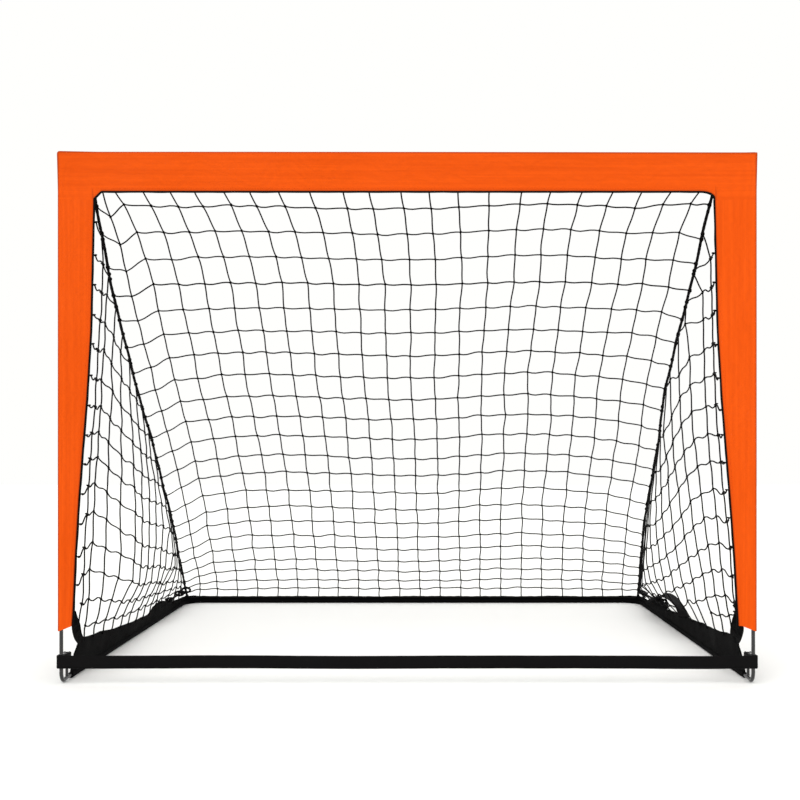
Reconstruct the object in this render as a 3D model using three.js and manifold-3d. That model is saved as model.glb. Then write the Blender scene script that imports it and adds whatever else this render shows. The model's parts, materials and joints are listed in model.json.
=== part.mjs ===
// Portable soccer goal frame: a steel rod base that lies on the ground, and a sleeved front frame
// (two posts and a crossbar) that stands on it and folds back and down over it on two hidden hinges.
// Millimetres, +X to the right as seen from the field, +Y towards the back of the goal, +Z up.
import * as THREE from 'three';
import { mergeVertices } from 'three/addons/utils/BufferGeometryUtils.js';
import Module from 'manifold-3d';

const wasm = await Module();
wasm.setup();

// Overall size
const WIDTH = 1200;
const HEIGHT = 912;
const DEPTH = 900;

// Steel rod, and the cloth sleeves drawn over it
const ROD_R = 3.2;
const FERRULE_IN_R = 3.5;
const FERRULE_OUT_R = 4.2;
const CHANNEL_R = 4.5;
const SLEEVE_R = 5.5;
const ROD_SIDES = 12;
const GAP = 0.3;

// Where the rods run: y = 0 is the posts' own plane until the whole goal is centred at the end
const POST_X = WIDTH / 2 - 6.8;
const BASE_Z = 5.2;
const TOP_Z = HEIGHT - SLEEVE_R;
const STRAP_FRONT_Y = -7;
const REAR_Y = STRAP_FRONT_Y + DEPTH - SLEEVE_R;
const CENTRE_Y = STRAP_FRONT_Y + DEPTH / 2;

// Base
const FOOT_BEND_R = 15;
const FOOT_TOP_Z = 33;
const FOOT_END_Y = 70;
const BRACE_Y = 26;
const BRACE_R = 2.4;
const REAR_BEND_R = 45;
const REAR_LEG = 14;
const REAR_SLEEVE_TOP = 18;
const SIDE_SLEEVE_FRONT_Y = 44;
const FIN_HALF = 1.2;

// Fold hinges, hidden in the ends of the front strap
const PIVOT_Y = 10;
const PIVOT_Z = 44.5;
const PIN_R = 1.8;
const BRACKET_FLOOR_Z = FOOT_TOP_Z + GAP;
const BRACKET_PLATE = 1.3;
const CHEEK_IN = 3.7;
const CHEEK_TOP_Z = 50;
const POST_BOTTOM_Z = 51.2;

// Front strap
const STRAP_LOW_Z = 27;
const STRAP_HIGH_Z = 50;
const STRAP_THICK = 2.4;
const STRAP_RETURN_Y = 26;

// Front frame cover
const CROSSBAR_HEM_Z = 845;
const COVER_JOIN_Z = 829;
const COVER_BOTTOM_OUT_Z = 93;
const EDGE_HALF = 1.3;
const COVER_REACH = 66;
const INNER_CHAMFER = 13;
const PIPING_R = 2.2;
const ELBOW_R = 14;
const ELBOW_LEG_Z = 860;
const ELBOW_LEG_X = POST_X - 46;
const POST_ROD_TOP_Z = 885;
const CROSSBAR_ROD_X = POST_X - 22;
// inner edge of a post's cover as [z, x]: wide at the top, narrow at the foot
const COVER_EDGE = [
  [COVER_JOIN_Z, 535], [605, 540.5], [487, 547.4], [401, 554.3],
  [315, 561], [212, 568], [127, 571.5], [103, 572.5],
];

// Net and its seam cords
const NET_THICK = 1.2;
const NET_TOP = { y: 9, z: 862 };
const NET_FOOT = { y: 879, z: 21 };
const SEAM_FOOT = { y: 850, z: 24 };
const NET_SAG = 30;
const SIDE_NET_TOP_X = 537;
const SIDE_NET_LEAN = 0.0703;
const SEAM_R = 2.2;

const ORANGE = new THREE.MeshStandardMaterial({ color: 0xf0560f, roughness: 0.8, metalness: 0 });
const BLACK_CLOTH = new THREE.MeshStandardMaterial({ color: 0x17161a, roughness: 0.9, metalness: 0 });
const BLACK_CORD = new THREE.MeshStandardMaterial({ color: 0x0e0d10, roughness: 0.8, metalness: 0 });
const STEEL = new THREE.MeshStandardMaterial({ color: 0x4c4e53, roughness: 0.35, metalness: 0.9 });
const BLACK_PLASTIC = new THREE.MeshStandardMaterial({ color: 0x18181a, roughness: 0.5, metalness: 0 });

const goal = new THREE.Group();

// ---- geometry helpers ----

function addPiece(name, geometry, material) {
  const mesh = new THREE.Mesh(geometry, material);
  mesh.name = name;
  goal.add(mesh);
}

function toSolid(geometry) {
  const bare = geometry.clone();
  bare.deleteAttribute('normal');
  bare.deleteAttribute('uv');
  const merged = mergeVertices(bare, 1e-4);
  return new wasm.Manifold(new wasm.Mesh({
    numProp: 3,
    vertProperties: new Float32Array(merged.attributes.position.array),
    triVerts: new Uint32Array(merged.index.array),
  }));
}

function toGeometry(solid) {
  const mesh = solid.getMesh();
  const geometry = new THREE.BufferGeometry();
  geometry.setAttribute('position', new THREE.BufferAttribute(mesh.vertProperties, 3));
  geometry.setIndex(new THREE.BufferAttribute(mesh.triVerts, 1));
  geometry.computeVertexNormals();
  return geometry;
}

function outline(points) {
  return new THREE.Shape(points.map(([a, b]) => new THREE.Vector2(a, b)));
}

function circle(radius, sides = ROD_SIDES, a = 0, b = 0) {
  const points = [];
  for (let i = 0; i < sides; i += 1) {
    const angle = (2 * Math.PI * (i + 0.5)) / sides;
    points.push([a + radius * Math.cos(angle), b + radius * Math.sin(angle)]);
  }
  return outline(points);
}

function extrude(shape, depth) {
  return new THREE.ExtrudeGeometry(shape, { depth, bevelEnabled: false, steps: 1 });
}

// shape in (y, z), pushed along X
function alongX(shape, x0, x1) {
  return extrude(shape, x1 - x0).rotateX(Math.PI / 2).rotateZ(Math.PI / 2).translate(x0, 0, 0);
}

// shape in (x, z), pushed along Y
function alongY(shape, y0, y1) {
  return extrude(shape, y1 - y0).rotateX(Math.PI / 2).translate(0, y1, 0);
}

// shape in (x, y), pushed along Z
function alongZ(shape, z0, z1) {
  return extrude(shape, z1 - z0).translate(0, 0, z0);
}

// A route through points, one step to each, so that straight runs stay cheap.
class Route extends THREE.Curve {
  constructor(points) {
    super();
    this.points = points.map((p) => new THREE.Vector3(...p));
  }

  getUtoTmapping(u) {
    return u;
  }

  getPoint(t, target = new THREE.Vector3()) {
    const at = t * (this.points.length - 1);
    const i = Math.min(Math.floor(at), this.points.length - 2);
    return target.copy(this.points[i]).lerp(this.points[i + 1], at - i);
  }
}

function sweep(shape, points) {
  return new THREE.ExtrudeGeometry(shape, {
    extrudePath: new Route(points), steps: points.length - 1, bevelEnabled: false,
  });
}

function rod(points, radius = ROD_R, sides = ROD_SIDES) {
  return sweep(circle(radius, sides), points);
}

function pipe(points, outer, inner, sides = ROD_SIDES) {
  const ring = circle(outer, sides);
  ring.holes.push(circle(inner, sides));
  return sweep(ring, points);
}

// start, corner, end with the corner rounded to the radius
function rounded(start, corner, end, radius, steps) {
  const a = new THREE.Vector3(...start);
  const c = new THREE.Vector3(...corner);
  const b = new THREE.Vector3(...end);
  const inDir = c.clone().sub(a).normalize();
  const outDir = b.clone().sub(c).normalize();
  const centre = c.clone().addScaledVector(inDir, -radius).addScaledVector(outDir, radius);
  const points = [a.toArray()];
  for (let i = 0; i <= steps; i += 1) {
    const angle = (Math.PI / 2) * (i / steps);
    const p = centre.clone()
      .addScaledVector(outDir, -radius * Math.cos(angle))
      .addScaledVector(inDir, radius * Math.sin(angle));
    points.push(p.toArray());
  }
  points.push(b.toArray());
  return points;
}

// a rod sleeve's section: a tube round (a, b), flat where it meets the ground, with a fin up to top
function finSection(a, b, top) {
  const rise = Math.asin(FIN_HALF / SLEEVE_R);
  const drop = Math.acos(b / SLEEVE_R);
  const from = Math.PI / 2 - rise;
  const to = -Math.PI / 2 + drop;
  const steps = 8;
  const right = [[FIN_HALF, top - b]];
  for (let i = 0; i <= steps; i += 1) {
    const angle = from + ((to - from) * i) / steps;
    right.push([SLEEVE_R * Math.cos(angle), SLEEVE_R * Math.sin(angle)]);
  }
  const left = right.map(([u, v]) => [-u, v]).reverse();
  return outline([...right, ...left].map(([u, v]) => [a + u, b + v]));
}

// a flat cloth tube's section: round over the rod at (0, 0), narrowing to an edge at reach
function coverSection(reach, place) {
  const points = [[reach, -EDGE_HALF], [reach, EDGE_HALF]];
  const steps = 10;
  for (let i = 0; i <= steps; i += 1) {
    const angle = THREE.MathUtils.degToRad(86 + ((274 - 86) * i) / steps);
    points.push([SLEEVE_R * Math.cos(angle), SLEEVE_R * Math.sin(angle)]);
  }
  return outline(points.map(place));
}

// height of the net's slope above the ground at a distance y behind the posts
function netZ(y, foot) {
  const t = (y - NET_TOP.y) / (foot.y - NET_TOP.y);
  return NET_TOP.z + (foot.z - NET_TOP.z) * t - NET_SAG * 4 * t * (1 - t);
}

// distance of a side net from the middle plane at height z
function sideNetX(z) {
  return SIDE_NET_TOP_X + SIDE_NET_LEAN * (CROSSBAR_HEM_Z - z);
}

// distance of the base's rod from the middle plane at a distance y behind the posts
function baseX(y) {
  const past = Math.max(0, y - (REAR_Y - REAR_BEND_R));
  return POST_X - REAR_BEND_R + Math.sqrt(REAR_BEND_R ** 2 - past ** 2);
}

// ---- base ----

function makeFoot(side, s) {
  const x = s * POST_X;
  addPiece(`foot_bend_${side}`, rod(rounded(
    [x, 0, FOOT_TOP_Z], [x, 0, BASE_Z], [x, FOOT_END_Y, BASE_Z], FOOT_BEND_R, 8,
  )), STEEL);
  addPiece(`foot_brace_${side}`, rod([
    [x, BRACE_Y, BASE_Z + ROD_R + GAP], [x, BRACE_Y, BRACKET_FLOOR_Z - GAP],
  ], BRACE_R), STEEL);
  addPiece(`foot_ferrule_${side}`, pipe([
    [x, FOOT_END_Y - 20, BASE_Z], [x, FOOT_END_Y + 20, BASE_Z],
  ], FERRULE_OUT_R, FERRULE_IN_R), STEEL);
}

// U-shaped bracket on top of the foot: a floor and two cheeks with a hole for the pin
function makeBracket(side, s) {
  const x = s * POST_X;
  const low = BRACKET_FLOOR_Z;
  const out = CHEEK_IN + BRACKET_PLATE;
  const section = outline([
    [x - out, low], [x + out, low], [x + out, CHEEK_TOP_Z], [x + CHEEK_IN, CHEEK_TOP_Z],
    [x + CHEEK_IN, low + BRACKET_PLATE], [x - CHEEK_IN, low + BRACKET_PLATE],
    [x - CHEEK_IN, CHEEK_TOP_Z], [x - out, CHEEK_TOP_Z],
  ]);
  const hole = alongX(circle(PIN_R + 0.25, 16, PIVOT_Y, PIVOT_Z), x - 9, x + 9);
  const bracket = toSolid(alongY(section, -ROD_R - 1, BRACE_Y + BRACE_R + 1)).subtract(toSolid(hole));
  addPiece(`hinge_bracket_${side}`, toGeometry(bracket), STEEL);
  addPiece(`hinge_pin_${side}`, alongX(
    circle(PIN_R, 16, PIVOT_Y, PIVOT_Z), x - out, x + out,
  ), STEEL);
}

function makeSideBar(side, s) {
  const x = s * POST_X;
  const bendStart = REAR_Y - REAR_BEND_R - REAR_LEG;
  addPiece(`side_rod_${side}`, rod([
    [x, FOOT_END_Y + GAP, BASE_Z], [x, bendStart - GAP, BASE_Z],
  ]), STEEL);
  const corner = rounded(
    [x, bendStart, BASE_Z], [x, REAR_Y, BASE_Z],
    [x - s * (REAR_BEND_R + REAR_LEG), REAR_Y, BASE_Z], REAR_BEND_R, 8,
  );
  addPiece(`rear_corner_${side}`, rod(corner), STEEL);
  addPiece(`corner_sleeve_${side}`, pipe(corner.map(([a, b, c], i) => [
    a + (i === corner.length - 1 ? s * GAP : 0), b + (i === 0 ? GAP : 0), c,
  ]), 5.1, 4.4), BLACK_CLOTH);

  // sleeve with a standing band, tallest behind the post and lower towards the back
  const band = outline([
    [SIDE_SLEEVE_FRONT_Y, 0], [bendStart, 0], [bendStart, 20], [708, 27], [481, 32],
    [230, 45], [150, 47], [SIDE_SLEEVE_FRONT_Y, 47],
  ]);
  const body = toSolid(alongY(finSection(x, BASE_Z, 47), SIDE_SLEEVE_FRONT_Y, bendStart));
  const bore = toSolid(alongY(circle(CHANNEL_R, 16, x, BASE_Z), 0, DEPTH));
  const sleeve = body.intersect(toSolid(alongX(band, x - 20, x + 20))).subtract(bore);
  addPiece(`side_sleeve_${side}`, toGeometry(sleeve), BLACK_CLOTH);
}

function makeRearBar() {
  const end = POST_X - REAR_BEND_R - REAR_LEG;
  for (const [side, s] of [['L', -1], ['R', 1]]) {
    addPiece(`rear_rod_${side}`, rod([
      [s * GAP / 2, REAR_Y, BASE_Z], [s * (end - GAP), REAR_Y, BASE_Z],
    ]), STEEL);
  }
  addPiece('rear_ferrule', pipe([
    [-30, REAR_Y, BASE_Z], [30, REAR_Y, BASE_Z],
  ], FERRULE_OUT_R, FERRULE_IN_R), STEEL);
  const body = toSolid(alongX(finSection(REAR_Y, BASE_Z, REAR_SLEEVE_TOP), -end, end));
  const bore = toSolid(alongX(circle(CHANNEL_R, 16, REAR_Y, BASE_Z), -WIDTH, WIDTH));
  addPiece('rear_sleeve', toGeometry(body.subtract(bore)), BLACK_CLOTH);
}

// strap across the front, its ends turned back round the outside of the hinge brackets
function makeFrontStrap() {
  const out = WIDTH / 2;
  const inner = out - 1.5;
  const back = STRAP_FRONT_Y + STRAP_THICK;
  const plan = outline([
    [-out, STRAP_RETURN_Y], [-out, STRAP_FRONT_Y], [out, STRAP_FRONT_Y], [out, STRAP_RETURN_Y],
    [inner, STRAP_RETURN_Y], [inner, back], [-inner, back], [-inner, STRAP_RETURN_Y],
  ]);
  addPiece('front_strap', alongZ(plan, STRAP_LOW_Z, STRAP_HIGH_Z), BLACK_CLOTH);
}

// cloth web from the foot of a post's cover down to the side band
function makeGusset(side, s) {
  const web = outline([
    [9, 121], [9, 62], [14, 52], [112, 50.5], [112, 54], [78, 62], [52, 74], [30, 93],
  ]);
  const lean = THREE.MathUtils.degToRad(17);
  const geometry = alongX(web, -0.6, 0.6).translate(0, 0, -52).rotateY(-s * lean);
  addPiece(`gusset_${side}`, geometry.translate(s * 592.5, 0, 52), BLACK_CLOTH);
}

// a rod-thin strip bent through points: wide across, thin through
function webbing(points, across, through) {
  const section = outline([
    [-through / 2, -across / 2], [through / 2, -across / 2],
    [through / 2, across / 2], [-through / 2, across / 2],
  ]);
  return sweep(section, points);
}

// short webbing loops for ground pegs, standing inside the rear sleeve's fin near each corner
function makePegLoop(side, s) {
  const x = s * (POST_X - REAR_BEND_R - REAR_LEG - 16);
  const arch = [];
  for (let i = 0; i <= 8; i += 1) {
    const angle = Math.PI * (i / 8);
    arch.push([x + 11 * Math.cos(angle), REAR_Y - 2.8, 12 + 13 * Math.sin(angle)]);
  }
  addPiece(`peg_loop_${side}`, webbing(arch, 2, 2), BLACK_CLOTH);
}

// the strap that ties the goal when it is folded, arched up off the right side band
function makeTieStrap() {
  const outer = [[700, 28.5], [640, 47], [600, 61], [560, 71], [514, 76], [460, 75], [412, 68], [398, 56]];
  const inner = [[404, 50], [414, 57], [460, 69], [512, 70], [556, 65], [596, 55], [636, 42], [660, 31]];
  const arch = alongX(outline([...outer, ...inner]), 575, 590);
  addPiece('tie_strap', arch, BLACK_CLOTH);
}

// ---- front frame: folds about the hinge pins ----

// plate on the bottom of each post, held by the pin between the bracket's cheeks
function makePostEnd(side, s) {
  const x = s * POST_X;
  const heel = BRACKET_FLOOR_Z + BRACKET_PLATE + 0.4;
  const top = POST_BOTTOM_Z - GAP;
  const points = [
    [-ROD_R, top], [-ROD_R, PIVOT_Z - 4], [1.5, heel], [11, heel], [16, 38],
    [PIVOT_Y + 8, PIVOT_Z], [PIVOT_Y + 5, PIVOT_Z + 6], [ROD_R, top],
  ];
  const plate = toSolid(alongX(outline(points), x - ROD_R, x + ROD_R));
  const hole = toSolid(alongX(circle(PIN_R + 0.3, 16, PIVOT_Y, PIVOT_Z), x - 9, x + 9));
  addPiece(`post_end_${side}`, toGeometry(plate.subtract(hole)), STEEL);
}

function makePostRods(side, s) {
  const x = s * POST_X;
  addPiece(`post_rod_${side}`, rod([[x, 0, POST_BOTTOM_Z], [x, 0, POST_ROD_TOP_Z]]), STEEL);
  addPiece(`corner_elbow_${side}`, pipe(
    elbowPath(s), FERRULE_OUT_R, FERRULE_IN_R,
  ), BLACK_PLASTIC);
  addPiece(`crossbar_rod_${side}`, rod([
    [s * GAP / 2, 0, TOP_Z], [s * CROSSBAR_ROD_X, 0, TOP_Z],
  ]), STEEL);
}

function elbowPath(s) {
  return rounded(
    [s * POST_X, 0, ELBOW_LEG_Z], [s * POST_X, 0, TOP_Z], [s * ELBOW_LEG_X, 0, TOP_Z], ELBOW_R, 6,
  );
}

// orange cover: the crossbar's part reaches down both corners, the posts' parts join it below them
function makeCovers() {
  addPiece('crossbar_ferrule', pipe([
    [-30, 0, TOP_Z], [30, 0, TOP_Z],
  ], FERRULE_OUT_R, FERRULE_IN_R), STEEL);

  const end = WIDTH / 2 - 1.3;
  const join = COVER_JOIN_Z + GAP / 2;
  const edge = COVER_EDGE[0][1];
  const low = CROSSBAR_HEM_Z - INNER_CHAMFER;
  const face = outline([
    [-end, join], [-edge, join], [-edge, low], [-edge + INNER_CHAMFER, CROSSBAR_HEM_Z],
    [edge - INNER_CHAMFER, CROSSBAR_HEM_Z], [edge, low], [edge, join], [end, join],
    [end, HEIGHT], [-end, HEIGHT],
  ]);
  const posts = [-1, 1].map((s) => toSolid(alongZ(
    coverSection(COVER_REACH, ([u, v]) => [s * (POST_X - u), v]), COVER_BOTTOM_OUT_Z - 10, HEIGHT,
  )));
  const bar = toSolid(alongX(coverSection(
    TOP_Z - CROSSBAR_HEM_Z + 1, ([u, v]) => [v, TOP_Z - u],
  ), -end, end));
  const bores = [
    toSolid(alongX(circle(CHANNEL_R, 16, 0, TOP_Z), -ELBOW_LEG_X, ELBOW_LEG_X)),
    ...[-1, 1].map((s) => toSolid(rod(elbowPath(s), CHANNEL_R, 16))),
    ...[-1, 1].map((s) => toSolid(alongZ(circle(CHANNEL_R, 16, s * POST_X, 0), 0, ELBOW_LEG_Z + 5))),
  ];
  const all = bores.reduce((solid, bore) => solid.subtract(bore), bar.add(posts[0]).add(posts[1]));
  const crossbar = all.intersect(toSolid(alongY(face, -20, 20)));
  addPiece('crossbar_sleeve', toGeometry(crossbar), ORANGE);

  for (const [side, s] of [['L', -1], ['R', 1]]) {
    const front = [
      [s * end, COVER_BOTTOM_OUT_Z], [s * end, COVER_JOIN_Z - GAP / 2],
      ...COVER_EDGE.map(([z, x], i) => [s * x, i === 0 ? COVER_JOIN_Z - GAP / 2 : z]),
    ];
    const cover = all.intersect(toSolid(alongY(outline(front), -20, 20)));
    addPiece(`post_sleeve_${side}`, toGeometry(cover), ORANGE);
  }
}

// cord piping sewn along the cover's inner edge, cutting the top corners with it
function makePiping() {
  const off = PIPING_R + 0.4;
  const x = COVER_EDGE[0][1] - off;
  const z = CROSSBAR_HEM_Z - off;
  const cut = INNER_CHAMFER - off * (2 - Math.SQRT2);
  const corner = [[x, COVER_JOIN_Z + GAP / 2], [x, z - cut], [x - cut, z], [x - cut - 3, z]];
  addPiece('crossbar_piping', rod([
    ...corner.map(([a, b]) => [-a, 0, b]),
    ...corner.reverse().map(([a, b]) => [a, 0, b]),
  ], PIPING_R, 8), BLACK_CORD);
  for (const [side, s] of [['L', -1], ['R', 1]]) {
    addPiece(`post_piping_${side}`, rod(COVER_EDGE.map(([height, edge], i) => [
      s * (edge - off), 0, i === 0 ? height - GAP / 2 : height,
    ]), PIPING_R, 8), BLACK_CORD);
  }
}

// ---- net: a back panel and two side panels, joined along a thick seam cord on each side ----

function netProfile(foot, toY, lift) {
  const steps = 12;
  const points = [];
  for (let i = 0; i <= steps; i += 1) {
    const y = NET_TOP.y + ((toY - NET_TOP.y) * i) / steps;
    points.push([y, netZ(y, foot) + lift]);
  }
  return points;
}

function makeBackNet() {
  const half = NET_THICK * 0.7;
  const profile = outline([
    ...netProfile(NET_FOOT, NET_FOOT.y, -half),
    ...netProfile(NET_FOOT, NET_FOOT.y, half).reverse(),
  ]);
  const inset = SEAM_R + 1;
  const top = sideNetX(NET_TOP.z + 10) - inset;
  const low = sideNetX(0) - inset;
  const face = outline([[-low, 0], [low, 0], [top, NET_TOP.z + 10], [-top, NET_TOP.z + 10]]);
  const corner = [];
  for (let y = REAR_Y - REAR_BEND_R; y < NET_FOOT.y; y += 11) {
    corner.push([baseX(y) - 3, y]);
  }
  corner.push([baseX(NET_FOOT.y + 1) - 3, NET_FOOT.y + 1]);
  const plan = outline([
    [-WIDTH / 2, 0], [WIDTH / 2, 0], ...corner, ...corner.map(([x, y]) => [-x, y]).reverse(),
  ]);
  const slab = toSolid(alongX(profile, -WIDTH / 2, WIDTH / 2));
  const net = slab.intersect(toSolid(alongY(face, -10, DEPTH + 10)))
    .intersect(toSolid(alongZ(plan, 0, HEIGHT)));
  addPiece('net_back', toGeometry(net), BLACK_CORD);
}

function makeSideNet(side, s) {
  const drop = 6;
  const panel = outline([
    ...netProfile(SEAM_FOOT, 805, -drop),
    [760, 28.5], [708, 30], [481, 35.5], [230, 49], [118, 58], [84, 67], [58, 79], [36, 98], [9, 126],
  ]);
  const lean = Math.atan(SIDE_NET_LEAN);
  const geometry = alongX(panel, -NET_THICK / 2, NET_THICK / 2).translate(0, 0, -CROSSBAR_HEM_Z);
  geometry.rotateY(-s * lean).translate(s * SIDE_NET_TOP_X, 0, CROSSBAR_HEM_Z);
  addPiece(`net_${side === 'L' ? 'left' : 'right'}`, geometry, BLACK_CORD);
}

function makeSeamCord(side, s) {
  addPiece(`seam_cord_${side}`, rod(netProfile(SEAM_FOOT, SEAM_FOOT.y, 0).map(([y, z]) => [
    s * Math.min(sideNetX(z), baseX(y) - 1), y, z,
  ]), SEAM_R, 8), BLACK_CORD);
}

for (const [side, s] of [['L', -1], ['R', 1]]) {
  makeFoot(side, s);
  makeBracket(side, s);
  makeSideBar(side, s);
  makeGusset(side, s);
  makePegLoop(side, s);
  makePostEnd(side, s);
  makePostRods(side, s);
  makeSideNet(side, s);
  makeSeamCord(side, s);
}
makeRearBar();
makeFrontStrap();
makeTieStrap();
makeCovers();
makePiping();
makeBackNet();

// centre the goal over the origin, standing on z = 0
goal.position.set(0, -CENTRE_Y, 0);

export default goal;
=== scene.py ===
import json
import math

import bmesh
import bpy
import numpy as np
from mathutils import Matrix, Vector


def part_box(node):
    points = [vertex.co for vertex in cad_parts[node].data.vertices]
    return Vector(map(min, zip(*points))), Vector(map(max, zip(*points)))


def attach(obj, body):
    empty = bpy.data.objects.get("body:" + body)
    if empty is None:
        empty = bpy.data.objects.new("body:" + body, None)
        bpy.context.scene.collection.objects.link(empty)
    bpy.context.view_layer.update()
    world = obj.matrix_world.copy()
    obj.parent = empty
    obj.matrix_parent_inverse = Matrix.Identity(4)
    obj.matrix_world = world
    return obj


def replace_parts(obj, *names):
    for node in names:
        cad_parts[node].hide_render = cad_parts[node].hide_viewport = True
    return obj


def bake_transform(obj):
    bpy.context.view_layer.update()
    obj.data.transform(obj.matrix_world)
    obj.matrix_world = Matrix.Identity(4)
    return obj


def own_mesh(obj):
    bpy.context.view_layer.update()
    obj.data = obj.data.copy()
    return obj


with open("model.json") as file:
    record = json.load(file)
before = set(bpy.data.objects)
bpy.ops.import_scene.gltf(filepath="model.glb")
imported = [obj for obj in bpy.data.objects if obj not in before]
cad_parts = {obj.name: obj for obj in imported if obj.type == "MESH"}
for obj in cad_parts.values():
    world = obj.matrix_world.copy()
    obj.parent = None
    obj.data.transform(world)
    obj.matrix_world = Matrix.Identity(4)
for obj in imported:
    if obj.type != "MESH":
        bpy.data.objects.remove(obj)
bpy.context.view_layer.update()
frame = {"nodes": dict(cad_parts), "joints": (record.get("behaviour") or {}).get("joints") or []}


# ---- places taken from the CAD frame ----

def middle(node):
    low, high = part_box(node)
    return (low + high) / 2


FRONT_Y = middle("post_rod_L").y
POST_X = middle("post_rod_R").x
REAR_Y = middle("rear_rod_L").y
BASE_Z = middle("rear_rod_L").z
TOP_Z = middle("crossbar_rod_L").z
REAR_BACK = REAR_Y - FRONT_Y
PIVOT = frame["joints"][0]["pos_m"]
COVER_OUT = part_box("crossbar_sleeve")[1].x
COVER_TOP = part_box("crossbar_sleeve")[1].z
COVER_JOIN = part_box("crossbar_sleeve")[0].z
COVER_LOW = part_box("post_sleeve_L")[0].z
STRAP_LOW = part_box("front_strap")[0].z
STRAP_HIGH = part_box("front_strap")[1].z
STRAP_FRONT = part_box("front_strap")[0].y
STRAP_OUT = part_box("front_strap")[1].x
STRAP_MID = (STRAP_LOW + STRAP_HIGH) / 2
BAND_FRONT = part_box("side_sleeve_L")[0].y - FRONT_Y
BAND_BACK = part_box("side_sleeve_L")[1].y - FRONT_Y
REAR_FIN_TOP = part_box("rear_sleeve")[1].z - 0.0008
HEM_Z = 0.845
ROD_R = 0.0032
SLEEVE_R = 0.0055
EDGE_HALF = 0.0013
PIPING_R = 0.0018
PIPING_IN = 0.0014
REAR_BEND_R = 0.045
REAR_LEG = 0.014
FOOT_BEND_R = 0.015
CLOTH_LOW = 0.0001  # cloth on the ground stays this far above it
ROUND = 0.011  # how far in from its outer edge a cover turns round the rod
ROUND_STEPS = ROUND * (1 - np.cos(np.linspace(0, math.pi / 2, 9)))
STITCH_LINE = 0.0042
STITCH_STEP = 0.0042
CORNER_REACH, CORNER_RISE = 0.026, 0.0125
CORNER_CUT = 0.013
CAM_X, CAM_BACK, CAM_Z = 0.027, 1.67, 0.401
SIDES = (("L", -1), ("R", 1))
# inner edge of a post's cover: height, distance from the middle plane
EDGE_Z = [0.093, 0.127, 0.212, 0.315, 0.401, 0.487, 0.605, 0.829]
EDGE_X = {-1: [0.5750, 0.5730, 0.5695, 0.5635, 0.5570, 0.5500, 0.5430, 0.5380],
          1: [0.5680, 0.5665, 0.5620, 0.5545, 0.5475, 0.5405, 0.5335, 0.5280]}


# ---- camera, light and floor ----

def make_camera():
    data = bpy.data.cameras.new("camera")
    data.lens, data.sensor_width = 43.83, 36
    data.shift_x, data.shift_y = -0.02875, 0.0625
    data.dof.use_dof = False
    camera = bpy.data.objects.new("camera", data)
    camera.location = (CAM_X, FRONT_Y - CAM_BACK, CAM_Z)
    camera.rotation_euler = (math.pi / 2, 0, 0)
    bpy.context.scene.collection.objects.link(camera)
    bpy.context.scene.camera = camera


def make_light(name, spot, target, size, energy):
    data = bpy.data.lights.new(name, "AREA")
    data.shape, data.size, data.energy = "DISK", size, energy
    light = bpy.data.objects.new(name, data)
    light.location = spot
    away = -(np.array(target, float) - np.array(spot, float))
    away /= np.linalg.norm(away)
    light.rotation_euler = (math.acos(away[2]), 0, math.atan2(away[0], -away[1]))
    bpy.context.scene.collection.objects.link(light)


def make_sun():
    data = bpy.data.lights.new("key", "SUN")
    data.angle, data.energy = math.radians(50), 1.25
    light = bpy.data.objects.new("key", data)
    light.rotation_euler = (math.radians(50), 0, math.radians(-28))
    bpy.context.scene.collection.objects.link(light)


def make_world():
    world = bpy.data.worlds.new("studio")
    world.use_nodes = True
    back = world.node_tree.nodes["Background"]
    back.inputs["Color"].default_value = (1.0, 1.0, 0.985, 1)
    back.inputs["Strength"].default_value = 1.0
    bpy.context.scene.world = world
    bpy.context.scene.view_settings.view_transform = "Standard"


make_camera()
make_world()
make_sun()
make_light("fill", (2.6, -2.5, 1.8), (0, 0, 0.4), 2.0, 12)


# ---- materials ----

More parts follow.
